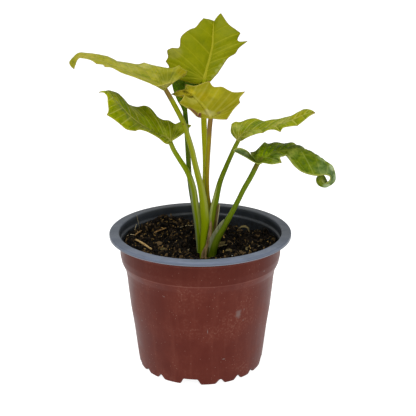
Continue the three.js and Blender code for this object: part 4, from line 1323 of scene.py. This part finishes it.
# Each leaf's look, where it isn't the usual one. Washes, partly the leaf's own tones and partly painted
# light and sheen, and spots: a point, the reach, the tint and its strength.
# Stripes along a stalk, mostly painted highlights and painted shade on its sides: the place across it, the
# half width, the tint, its strength, and from where up to where on the stalk.
LEAF_FINISHES = {
    "leaf_upper_left": {
        "main": (162, 159, 38), "deep": (136, 140, 18), "light": (180, 176, 82),
        "vein": (184, 178, 92), "edge": (194, 184, 84), "under": (172, 166, 74),
        "tips": (150, 124, 40), "patch": 9, "mottle": 0.4, "relief": 0.7,
        "veins": 0.2, "rib": 0.3,
        "washes_and_painted_light": [
            ((-46, -7, 201), 11, (176, 172, 66), 0.8),
            ((-34.5, 5.5, 200.3), 6, (190, 186, 96), 0.7),
            ((-35, -14, 197), 6, (126, 136, 20), 0.6),
            ((-21, -7, 195), 9, (122, 126, 0), 0.9),
            ((-11, -2, 197.5), 5, (148, 136, 0), 0.8),
            ((-27, -22, 194), 5, (156, 146, 20), 0.5),
            ((-71, -4, 207.5), 9, (182, 170, 70), 0.6),
        ],
        "stalk_low": (142, 164, 0), "stalk_high": (136, 144, 8), "neck": (122, 92, 50),
        "neck_from": 0.93,
        "stripes": [(0.55, 0.5, (164, 168, 84), 0.6, 0.3, 0.75)],
        "spots": [((-10.6, -15.6, 167.4), 1.1, (96, 52, 20), 0.8)],
    },
    "leaf_top": {
        "main": (133, 138, 0), "deep": (116, 126, 0), "light": (148, 150, 8),
        "vein": (170, 166, 36), "edge": (150, 132, 26), "under": (160, 160, 76),
        "tips": (130, 108, 24), "tip_reach": 0.8, "patch": 11, "mottle": 0.16, "relief": 0.45,
        "veins": 0.55, "under_veins": 1.1, "rib": 0.85,
        "washes_and_painted_light": [
            ((-16, 18, 207), 6, (156, 152, 60), 0.5),
            ((-8, 13, 193), 7, (114, 124, 0), 0.7),
            ((9, 13.2, 191.5), 2.4, (164, 166, 80), 0.8),
            ((11.8, 14.6, 195), 2.6, (164, 168, 76), 0.8),
            ((14.2, 16.6, 198.2), 2.6, (162, 166, 72), 0.8),
            ((16.6, 18.6, 200.8), 2.4, (162, 164, 76), 0.7),
        ],
        "stalk_low": (158, 164, 0), "stalk_high": (162, 164, 0), "neck": (140, 146, 6),
        "stripes": [(0.7, 0.4, (160, 160, 44), 0.5, 0, 1)],
    },
    "leaf_lower_left": {
        "main": (146, 158, 0), "deep": (96, 124, 0), "light": (172, 178, 30),
        "vein": (204, 204, 96), "edge": (190, 182, 60), "under": (160, 164, 54),
        "tips": (160, 140, 50), "mottle": 0.5,
        "veins": 0.75, "rib": 0.8,
        # The bright washes near the blade's base, from heights 160 to 167, are painted light that lifts it
        # where the leaves above shade it
        "washes_and_painted_light": [
            ((-53, -28, 186), 6, (176, 178, 40), 0.5),
            ((-40, -5, 173), 6, (190, 194, 66), 0.6),
            ((-48, -16, 180), 7, (122, 150, 0), 0.6),
            ((-33, -7, 167), 8, (176, 194, 14), 0.8),
            ((-34, -26, 165), 7, (168, 174, 50), 0.6),
            ((-24, -5, 160.5), 6, (172, 190, 8), 0.8),
            ((-13.5, 1.4, 162), 5, (196, 206, 60), 0.8),
        ],
        "stalk_low": (128, 156, 0), "stalk_high": (124, 142, 0), "neck": (134, 146, 30),
        "stripes": [
            (-0.8, 0.45, (136, 144, 112), 0.75, 0.15, 0.6),
            (0.55, 0.5, (206, 216, 116), 0.85, 0.28, 0.66),
        ],
    },
    "leaf_front": {
        "main": (160, 154, 12), "deep": (142, 140, 0), "light": (180, 174, 62),
        "vein": (188, 182, 84), "edge": (186, 172, 80), "under": (148, 142, 16),
        "tips": (130, 96, 60), "tip_reach": 1.4, "mottle": 0.4,
        "veins": 0.3, "vein_width": 2, "rib": 0.15, "relief": 0.6,
        "washes_and_painted_light": [
            ((15, -14, 177), 9, (142, 136, 0), 1.0),
            ((2, -6, 183), 6, (160, 146, 0), 0.8),
            ((-5, -11, 182.5), 6, (176, 170, 66), 0.7),
            ((-12, -5, 184.5), 5, (176, 160, 0), 0.85),
            # Painted light on the fold near the rib's end, which falls into shade
            ((-6, -3, 185), 4.5, (186, 172, 20), 0.8),
            ((5.5, -18.5, 175.5), 4.5, (190, 182, 116), 0.75),
            ((10, -3, 185.5), 6, (176, 168, 20), 0.6),
            ((-10.5, -15.7, 184), 4, (172, 164, 50), 0.7),
            ((-4.5, -22.6, 177.6), 4.6, (112, 62, 52), 1.0),
            ((-1.6, -24, 175.4), 3.6, (112, 62, 52), 1.0),
            ((11.5, -17, 175.5), 1.6, (96, 74, 30), 0.8),
        ],
        "stalk_low": (124, 136, 44), "stalk_high": (142, 132, 14), "neck": (122, 92, 48),
        "neck_from": 0.86,
        "stripes": [(0.6, 0.45, (150, 112, 46), 0.65, 0.4, 1)],
    },
    "leaf_upper_right": {
        "main": (146, 154, 6), "deep": (108, 130, 0), "light": (168, 170, 48),
        "vein": (192, 190, 92), "edge": (186, 182, 84), "under": (156, 160, 50),
        "tips": (156, 136, 60), "mottle": 0.5,
        "veins": 0.8, "rib": 0.9,
        "washes_and_painted_light": [
            ((24.5, 8, 160.5), 5, (184, 190, 84), 0.8),
            ((29, 4, 160), 4, (128, 150, 0), 0.6),
            ((37, 5, 162.5), 7, (100, 126, 0), 0.7),
            ((33, -14, 160), 7, (172, 180, 76), 0.7),
            ((52, -8, 167), 8, (172, 172, 84), 0.6),
            ((62, -13, 172), 8, (156, 154, 10), 0.7),
            ((70, -19, 175), 3, (156, 134, 60), 0.7),
        ],
        "stalk_low": (144, 164, 0), "stalk_high": (104, 124, 0), "neck": (124, 140, 24),
        "stripes": [
            (-0.6, 0.5, (202, 212, 124), 0.9, 0.2, 0.58),
            (0.6, 0.6, (76, 96, 0), 0.55, 0.6, 0.85),
        ],
    },
    "leaf_lower_right": {
        "main": (104, 123, 0), "deep": (62, 88, 0), "light": (144, 158, 48),
        "vein": (156, 168, 84), "edge": (178, 182, 92), "under": (118, 140, 74),
        "tips": (132, 146, 50), "tip_reach": 1.2, "patch": 6, "mottle": 0.8,
        "veins": 0.45, "rib": 0.15, "edge_width": 1.3,
        # The pale washes along the top margin are painted light on its dark edge, and the pale grey-green
        # ones on the curled tail are painted sheen
        "washes_and_painted_light": [
            ((41, -10, 148.5), 8, (160, 188, 12), 0.85),
            ((52, -8, 151), 8, (132, 158, 16), 0.6),
            ((45.5, -15.5, 149.6), 4, (134, 156, 34), 0.5),
            ((25, -21, 151.5), 10, (134, 154, 98), 0.9),
            ((49, -24, 147), 6, (130, 148, 66), 0.7),
            ((58.5, -18.5, 149.5), 5, (160, 172, 72), 0.75),
            ((70.5, -30, 141.5), 5, (92, 114, 14), 0.6),
            ((76, -28, 141), 8, (112, 134, 72), 0.8),
            ((82, -26, 136), 7, (104, 128, 84), 0.8),
            ((38, -15, 144.5), 3, (112, 100, 10), 0.7),
            ((50.5, -26, 145.3), 2.4, (160, 44, 20), 1.0),
            ((42, -1.5, 151.5), 4, (176, 194, 96), 0.9),
            ((50, -3, 152), 4.5, (158, 178, 60), 0.8),
            ((60, -3, 151.8), 4.5, (176, 188, 70), 0.8),
            ((67, -12, 149.5), 5, (186, 188, 104), 0.85),
            ((76, -20, 146.2), 4, (158, 176, 116), 0.8),
            ((82, -23.6, 142), 3.4, (178, 194, 150), 0.9),
            ((84, -24.6, 136), 3.2, (170, 188, 150), 0.9),
            ((79, -25, 130), 3.2, (160, 178, 130), 0.9),
            ((70.5, -12, 148.5), 2.2, (150, 96, 50), 0.6),
        ],
        "stalk_low": (60, 78, 0), "stalk_high": (96, 118, 4), "neck": (108, 100, 20),
        "neck_from": 0.94,
        "stripes": [
            (-0.85, 0.3, (142, 140, 112), 0.6, 0.2, 0.4),
            (0.1, 0.7, (104, 124, 20), 0.5, 0.24, 1),
        ],
    },
    "leaf_back": {
        "main": (84, 118, 0), "deep": (50, 84, 0), "light": (120, 146, 16),
        "vein": (104, 126, 30), "edge": (98, 114, 18), "under": (84, 104, 34),
        "tips": (90, 82, 24), "tip_reach": 0.8, "patch": 5, "mottle": 0.8,
        "veins": 0.8, "rib": 0.5,
        "stalk_low": (86, 106, 0), "stalk_high": (74, 98, 0), "neck": (60, 88, 2),
        "stripes": [(0.5, 0.4, (110, 108, 40), 0.6, 0, 1)],
    },
}
# Tints that the mottling multiplies in: the darker one is partly the leaf's own tone and partly painted
# shade, and the paler, bluer one is painted sheen
DARKER = (0.55, 0.68, 0.4, 1)
PAINTED_SHEEN = (1.45, 1.3, 1.5, 1)
# How strong the light and deep clouds, the mottling with its painted sheen and shade, and the hollows are on
# each side, and how rough it is
BLADE_SIDES = {
    "upper": {"main": "main", "light": 0.6, "deep": 0.6, "mottle": 1, "hollow": 1, "rough": (0.36, 0.5)},
    "under": {"main": "under", "light": 0.3, "deep": 0.15, "mottle": 0.4, "hollow": -1, "rough": (0.5, 0.62)},
}
BLADE_GLOW = (150, 158, 0)
STALK_GLOW = (150, 166, 10)


def blade_finish(leaf_name, look, side_name):
    """A leathery blade: mottled between pale veins, partly with painted sheen and shade, washed in its own
    tones and in painted light, with a thin pale margin and browned lobe tips.
    """
    side = BLADE_SIDES[side_name]
    f = Finish(leaf_name + "_" + side_name, colour(*look[side["main"]]))
    vein, minor, rib, margin = (f.attribute(key) for key in ("vein", "minor", "rib", "margin"))
    outward = f.attribute("outward")
    clouds = f.noise(look["patch"], detail=3, roughness=0.5)
    blotches = f.noise(3.6, detail=4, roughness=0.62, seed=8)
    fine = f.noise(1.5, detail=3, roughness=0.6, seed=2)
    f.coat(f.spread(clouds, 0.52, 0.72, 0, side["light"]), look["light"])
    f.coat(f.spread(clouds, 0.48, 0.28, 0, side["deep"]), look["deep"])
    # Washes: the leaf's own tones, painted light on shaded parts and painted sheen on glossy ones
    for centre, reach, tint, share in look["washes_and_painted_light"]:
        ragged = f.times(f.minus(clouds, 0.5), reach * MM)
        f.patch(f.plus(f.distance(*centre), ragged), reach, tint, share)
    between = f.maths("MINIMUM", f.maths("MINIMUM", vein, f.times(minor, 1.6)), rib)
    mottle = look["mottle"] * side["mottle"]
    # Mottling: darker away from the veins and in fine specks, in the leaf's own tone, and painted shade and
    # painted sheen on the blotches, which also bump the surface
    for value, low, high, share, shade in (
        (between, 0.6, 3.0, 0.4, DARKER), (blotches, 0.5, 0.59, 1, DARKER),
        (blotches, 0.46, 0.38, 0.8, PAINTED_SHEEN), (fine, 0.5, 0.66, 0.5, DARKER),
    ):
        f.base = f.mix(f.spread(value, low, high, 0, share * mottle), f.base, shade, "MULTIPLY")
    strength = look.get(side_name + "_veins", look["veins"])
    narrowing = f.minus(1.0, f.times(outward, 0.55))
    rib_width = f.spread(f.attribute("along"), 0, 1, 1.5, 0.45)
    for away, width, low, high, share in (
        (vein, narrowing, 0.15, 0.8 * look["vein_width"], 0.8 * strength),
        (minor, narrowing, 0.1, 0.55, 0.45 * strength),
        (rib, rib_width, 0.35, 1.1, look["rib"]),
    ):
        f.coat(f.spread(f.maths("DIVIDE", away, width), low, high, share, 0), look["vein"])
    # A thin pale margin, which on the lower right leaf's wide margin is a painted highlight along the top
    # edge
    f.coat(f.spread(margin, 0.15, look["edge_width"], 0.75, 0), look["edge"])
    tip_reach = look["tip_reach"]
    f.coat(f.spread(f.attribute("tip"), 0.4 * tip_reach, tip_reach, 0.9, 0), look["tips"])
    lines = f.node("ShaderNodeCombineXYZ", {"X": f.attribute("ruling"), "Y": f.times(outward, 3.0)})
    striation = f.node("ShaderNodeTexNoise", {"Vector": lines.outputs[0], "Scale": 0.9, "Detail": 2.0})
    relief = look["relief"]
    normal = f.bump(striation.outputs["Fac"], 0.25 * relief, 0.3)
    normal = f.bump(f.spread(between, 0, 1.8), 0.7 * relief * side["hollow"], 0.5, normal)
    normal = f.bump(blotches, 0.5 * relief, 1.0, normal)
    normal = f.bump(fine, 0.2, 0.2, normal)
    rough = f.spread(clouds, 0.3, 0.7, *side["rough"])
    return f.finish(rough, 0.06, normal, f.mix(0.5, f.base, colour(*BLADE_GLOW)), 0.28)


def stalk_finish(leaf_name, look):
    """A smooth stalk, its colour running up from a foot with painted shade or light, browner at its neck,
    with fine streaks and with pale and dark stripes along its sides that are mostly painted highlights and
    painted shade.
    """
    f = Finish(leaf_name + "_stalk", colour(*look["stalk_low"]))
    up_stalk, aside = f.attribute("up_stalk"), f.attribute("aside")
    streaks = f.noise(1.1, detail=3, stretch=(1, 1, 0.08))
    flecks = f.noise(2.2, detail=3, seed=6)
    # The foot colour holds painted shade on the darker stalks, and on the brighter ones painted light that
    # offsets the shade among the stalks
    f.coat(f.spread(up_stalk, 0.15, 0.6), look["stalk_high"])
    f.coat(f.spread(streaks, 0.45, 0.75, 0, 0.2), (160, 164, 50))
    f.coat(f.spread(flecks, 0.64, 0.74, 0, 0.3), (92, 78, 14))
    # Stripes along the stalk's sides: mostly painted highlights, and some painted shade
    for middle, half_width, tint, share, bottom, top in look["stripes"]:
        line = f.spread(f.off(aside, middle), half_width * 0.3, half_width, share, 0)
        line = f.times(line, f.spread(up_stalk, bottom, bottom + 0.08))
        f.coat(f.times(line, f.spread(up_stalk, top, top + 0.12, 1, 0)), tint)
    for centre, reach, tint, share in look["spots"]:
        f.patch(f.distance(*centre), reach, tint, share)
    neck_from = look["neck_from"]
    f.coat(f.spread(up_stalk, neck_from, (1 + neck_from) / 2, 0, 0.85), look["neck"])
    glow = f.mix(0.5, f.base, colour(*STALK_GLOW))
    return f.finish(0.4, 0.08, f.bump(streaks, 0.3, 0.2), glow, 0.1)


# Sheaths and dry bits

PAPER_THICKNESS = 0.3
SHEATH_ROWS = 60
SHEATH_COLUMNS = 12
SHEATH_FOLD = 0.25
SHEATH_RAGGED_END = 1.2
# Papery finishes: the dark, light and edge colours, and how strong the edge is
PAPERY = {
    "papery_front": ((94, 76, 42), (168, 142, 98), (128, 106, 66), 0.5),
    "papery_right": ((80, 64, 28), (122, 104, 58), (190, 180, 142), 0.9),
    "papery_bits": ((60, 50, 24), (118, 104, 62), (150, 138, 96), 0.6),
    "papery_pale": ((104, 112, 72), (158, 160, 126), (120, 130, 70), 0.6),
}
SHEATHS = [
    {
        "name": "sheath_front",
        "finish": "papery_front",
        "left": [
            (0.3, -11.2, 68), (0.3, -11.3, 76), (0.7, -11.2, 80), (2, -11, 82.8), (3.6, -10.7, 86),
            (4.6, -10.2, 91), (5.4, -9.8, 96), (6.2, -9.2, 101),
        ],
        "middle": [
            (2.1, -12, 68), (2.1, -12, 76), (2.6, -11.9, 81), (3.6, -11.6, 84), (4.9, -11, 88),
            (6, -10.4, 93), (6.6, -9.9, 98), (6.9, -9.4, 102),
        ],
        "right": [
            (3.8, -11.6, 68), (3.8, -11.7, 76), (4.2, -11.6, 81), (5, -11.2, 84.5),
            (6.2, -10.7, 88.5), (7.6, -10, 93.5), (7.7, -9.6, 97.5), (7.4, -9.2, 101),
        ],
    },
    {
        "name": "sheath_right",
        "finish": "papery_right",
        "left": [
            (7.2, -5.2, 68), (7.6, -5.2, 80), (8.3, -4.9, 90), (9.2, -4.7, 98), (10.2, -4.2, 105),
            (11, -3.7, 110.5),
        ],
        "middle": [
            (8, -5.6, 68), (8.5, -5.5, 80), (9.4, -5.2, 90), (10.3, -4.9, 98), (11.2, -4.4, 105),
            (12, -3.9, 111.5),
        ],
        "right": [
            (8.8, -5, 68), (9.3, -5, 80), (10.1, -4.6, 90), (11.1, -4.2, 98), (12.1, -3.7, 105),
            (12.8, -3.2, 110.5),
        ],
    },
]
# Dry bits: half width, how far they curl across, and the points that each passes through
DRY_BITS = [
    ("dry_curl_back", 1.4, -0.9, [(25.7, 27, 83.6), (29, 27, 86), (32.6, 27, 85.2), (34.6, 27, 81)]),
    ("dry_flake_front", 3.0, 1.6, [(10.9, -6, 82), (15.5, -4.6, 83.2), (20, -4, 82.7)]),
    ("dry_flake_left", 1.2, 0.8, [(-26, -14.6, 83.4), (-24, -14, 84), (-22, -13, 83.6)]),
    ("dry_flake_right", 1.1, 0.8, [(36.8, 6, 81), (38.4, 8.4, 81.6), (40, 10.4, 81.3)]),
    ("dry_flake_low", 1.3, 0.7, [(16.5, -13, 82), (18.6, -12.4, 82.6), (20.6, -12.6, 82.2)]),
    (
        "dry_ring", 0.55, 0.2,
        [
            (33.6, -14.6, 84.4), (32.6, -13.4, 84.7), (31, -13.2, 84.9), (29.9, -14.4, 84.7),
            (30.2, -16.2, 84.4), (31.6, -17, 84.2), (33.2, -16.4, 84.1),
        ],
    ),
]
BIT_COLUMNS = 8
BIT_RUFFLE = 0.3
# The pale membrane along the left edge of the lower right leaf's foot
MEMBRANE = [
    (5.6, -10.9, 83.5), (6.5, -10.9, 88), (8.5, -10.9, 92.3), (10.9, -10.9, 96.2), (13.3, -11, 100),
    (15.5, -11.1, 103.4),
]
MEMBRANE_HALF_WIDTH = 1.25


def thick_sheet(name, grid, material, *nodes):
    """A closed thin plate from a grid of points. It stores how far across it each point lies."""
    rows, columns = grid.shape[:2]
    sheet = grid.reshape(-1, 3)
    faces = []
    for i in range(rows - 1):
        for j in range(columns - 1):
            a = i * columns + j
            faces.append((a, a + 1, a + columns + 1, a + columns))
    offset = sheet_normals(sheet, faces) * PAPER_THICKNESS / 2
    points = np.concatenate([sheet + offset, sheet - offset])
    across = np.tile(np.linspace(0, 1, columns), 2 * rows)
    piece = make_piece(
        name, points, plate_faces(faces, len(sheet)), [material], attributes={"across": across}
    )
    settle(piece, "dry_sheath", *nodes)


def make_sheath(sheath, material):
    """A dry sheath, bowed between its three lines, lightly folded and ragged at its top."""
    lines = [smooth_line(sheath[key], count=SHEATH_ROWS) for key in ("left", "middle", "right")]
    grid = []
    for i in range(SHEATH_ROWS + 1):
        a, b, c = (line[i] for line in lines)
        row = []
        for s in np.linspace(0, 1, SHEATH_COLUMNS + 1):
            p = a * (1 - s) * (1 - 2 * s) + b * 4 * s * (1 - s) + c * s * (2 * s - 1)
            fold = SHEATH_FOLD * math.sin(s * 9 + i * 0.05)
            ragged = SHEATH_RAGGED_END * noise.noise(Vector((s * 6, 3.3, 0))) * (i / SHEATH_ROWS) ** 6
            row.append(p + np.array([0, fold, ragged]))
        grid.append(row)
    thick_sheet(sheath["name"] + "_fine", np.array(grid), material, sheath["name"])


def ribbon(through, half_width, first_up, count, curl=0.0, ruffle=0.0, narrowest=0.05):
    """A grid of points along a curve, narrowing towards both ends and curled across."""
    line = smooth_line(through, count=count)
    ups, sideways = carried_frames(line, first_up)
    grid = []
    for u, point, up, side in zip(np.linspace(-1, 1, len(line)), line, ups, sideways):
        width = half_width * math.sqrt(max(narrowest, 1 - abs(u) ** 3))
        row = []
        for v in np.linspace(-1, 1, BIT_COLUMNS + 1):
            waved = ruffle * noise.noise(Vector((u * 2.3, v * 2.3, half_width)))
            row.append(point + side * v * width + up * (curl * v * v + waved))
        grid.append(row)
    return np.array(grid)


def make_dry_bits(material):
    for name, half_width, curl, through in DRY_BITS:
        grid = ribbon(through, half_width, (0, 0, 1), 24, curl, BIT_RUFFLE)
        thick_sheet(name, grid, material)


def make_membrane(material):
    grid = ribbon(MEMBRANE, MEMBRANE_HALF_WIDTH, (0, -1, 0), 30, narrowest=0.04)
    thick_sheet("pale_membrane", grid, material)


def papery_finish(name, dark, light, edge, edge_share):
    """Dry, streaky leaf tissue whose right edge has its own colour."""
    f = Finish(name, colour(*dark))
    streaks = f.noise(1.0, detail=4, stretch=(1, 1, 0.12))
    clouds = f.noise(5, detail=3, seed=2)
    f.coat(f.spread(streaks, 0.3, 0.7), light)
    f.coat(f.spread(clouds, 0.5, 0.75, 0, 0.4), dark)
    f.coat(f.spread(f.attribute("across"), 0.62, 0.85, 0, edge_share), edge)
    return f.finish(0.75, 0.15, f.bump(streaks, 0.6, 0.3), f.base, 0.2)


# Sticks and fibres

# Straw finishes: the dark and the light colour
STRAWS = {
    "dry_straw": ((132, 102, 58), (200, 170, 116)),
    "dark_twig": ((86, 62, 36), (150, 118, 72)),
    "pale_fibre": ((128, 114, 84), (188, 174, 142)),
}
# Sticks: the name, the finish, the radius at the middle, and the points that each passes through
STICKS = [
    (
        "straw_stick", "dry_straw", 0.85,
        [(-43.1, 3.6, 84.4), (-39.5, -1, 84.2), (-35.5, -6.4, 83.7), (-31.8, -11.5, 83.2)],
    ),
    ("twig_left", "dark_twig", 0.55, [(-44.5, 14.8, 83.2), (-42.6, 18.2, 84), (-40.3, 21.7, 84.4)]),
    ("twig_back", "dark_twig", 0.55, [(-32.7, 16.9, 83.9), (-28.2, 20.4, 84.9), (-23.4, 24.5, 85.2)]),
]
# Fibres: the radius at the middle, and the points that each passes through
FIBRES = [
    (0.24, [(-42, 30, 82.4), (-43, 30, 88), (-43.9, 30, 92.5)]),
    (0.3, [(-49.4, 12, 84.1), (-47, 13.6, 84.5), (-44.5, 15, 83.7)]),
    (0.3, [(-46, 24.5, 82.6), (-46.2, 26, 85), (-46.8, 27, 87.6)]),
    (0.3, [(-45.4, 24.5, 82.6), (-44.8, 26, 85), (-44, 27.5, 87)]),
    (0.28, [(-20, -28, 82), (-15.5, -29.5, 82.9), (-11, -29, 81.6)]),
    (0.25, [(26, -22, 82), (30, -23.5, 82.6), (33, -26, 81.6)]),
    (0.3, [(-14, 28, 84.3), (-10, 29, 85.4), (-5, 31, 84.6)]),
    (0.28, [(14, 31, 81.2), (18, 29.5, 82.2), (22, 30, 81.6)]),
    (0.55, [(-37.1, -12.4, 83.7), (-35.5, -12.2, 83.9)]),
    (0.5, [(-8.9, -3.2, 79.4), (-7.5, -2.8, 79.7)]),
    (0.45, [(-16, -7.4, 82.8), (-15, -7.2, 83), (-13.9, -7.6, 82.8)]),
    (0.6, [(30.6, -6.3, 84.2), (32.1, -5.9, 84.4)]),
    (0.55, [(38, -5.8, 82.8), (39.3, -5.2, 82.9)]),
    (0.55, [(40.3, -3.2, 82.5), (41.4, -2.8, 82.6)]),
    (0.5, [(41.2, -9.8, 83.4), (42.2, -9.1, 83.5)]),
]
ROD_SIDES = 10
ROD_STEP = 0.6


def rod(points, radius):
    """A slightly lumpy rod along a curve, thinning at its ends."""
    line = smooth_line(points, step=ROD_STEP)
    along = unit(line[-1] - line[0])
    ups, sideways = carried_frames(line, np.cross(along, (0.3, 0.9, 0.2)))
    run = np.linspace(0, 1, len(line))
    lumps = np.array([noise.noise(Vector((s * 9 + points[0][0], 2.2, 0))) for s in run])
    half = radius * (1 + 0.25 * lumps) * (0.6 + 0.4 * np.sin(np.pi * np.clip(run, 0.06, 0.94)) ** 0.5)
    rings = tube_rings(line, ups, sideways, half, half * 0.8, half * 0.8, ROD_SIDES)
    return rings.reshape(-1, 3), tube_faces(len(line), ROD_SIDES)


def make_sticks(finishes):
    for name, finish, radius, through in STICKS:
        piece = make_piece(name + "_fine", *rod(through, radius), [finishes[finish]])
        settle(piece, "straw", name)


def make_loose_fibres(material):
    points, faces = [], []
    for radius, through in FIBRES:
        some, theirs = rod(through, radius)
        faces += shifted(theirs, len(points))
        points += list(some)
    settle(make_piece("loose_fibres", points, faces, [material]), "straw")


def straw_finish(name, dark, light):
    """Bleached, fibrous stalk with darker spots."""
    f = Finish(name, colour(*dark))
    grain = f.noise(0.9, detail=5, roughness=0.65, stretch=(0.35, 1, 1))
    spots = f.noise(2.4, detail=3, seed=9)
    f.coat(f.spread(grain, 0.3, 0.7), light)
    f.coat(f.spread(spots, 0.6, 0.72, 0, 0.3), (94, 70, 42))
    return f.finish(0.8, 0.1, f.bump(grain, 0.7, 0.25))


# Assembly

place_camera()
make_stage()
bpy.context.scene.view_settings.view_transform = "Standard"

settle(make_pot(pot_outside_finish(), pot_inside_finish()), "pot_plastic", "pot")
soil_bed = make_soil_bed(soil_finish())
make_soil_grains(soil_bed)
settle(soil_bed, "potting_mix", "potting_soil")
for leaf in LEAVES:
    look = {**USUAL_LOOK, **LEAF_FINISHES[leaf["name"]]}
    finishes = [
        blade_finish(leaf["name"], look, "upper"),
        blade_finish(leaf["name"], look, "under"),
        stalk_finish(leaf["name"], look),
    ]
    settle(make_leaf(leaf, finishes), leaf["slot"], leaf["name"])
papery = {name: papery_finish(name, *tints) for name, tints in PAPERY.items()}
straws = {name: straw_finish(name, *tints) for name, tints in STRAWS.items()}
for sheath in SHEATHS:
    make_sheath(sheath, papery[sheath["finish"]])
make_sticks(straws)
make_loose_fibres(straws["pale_fibre"])
make_dry_bits(papery["papery_bits"])
make_membrane(papery["papery_pale"])
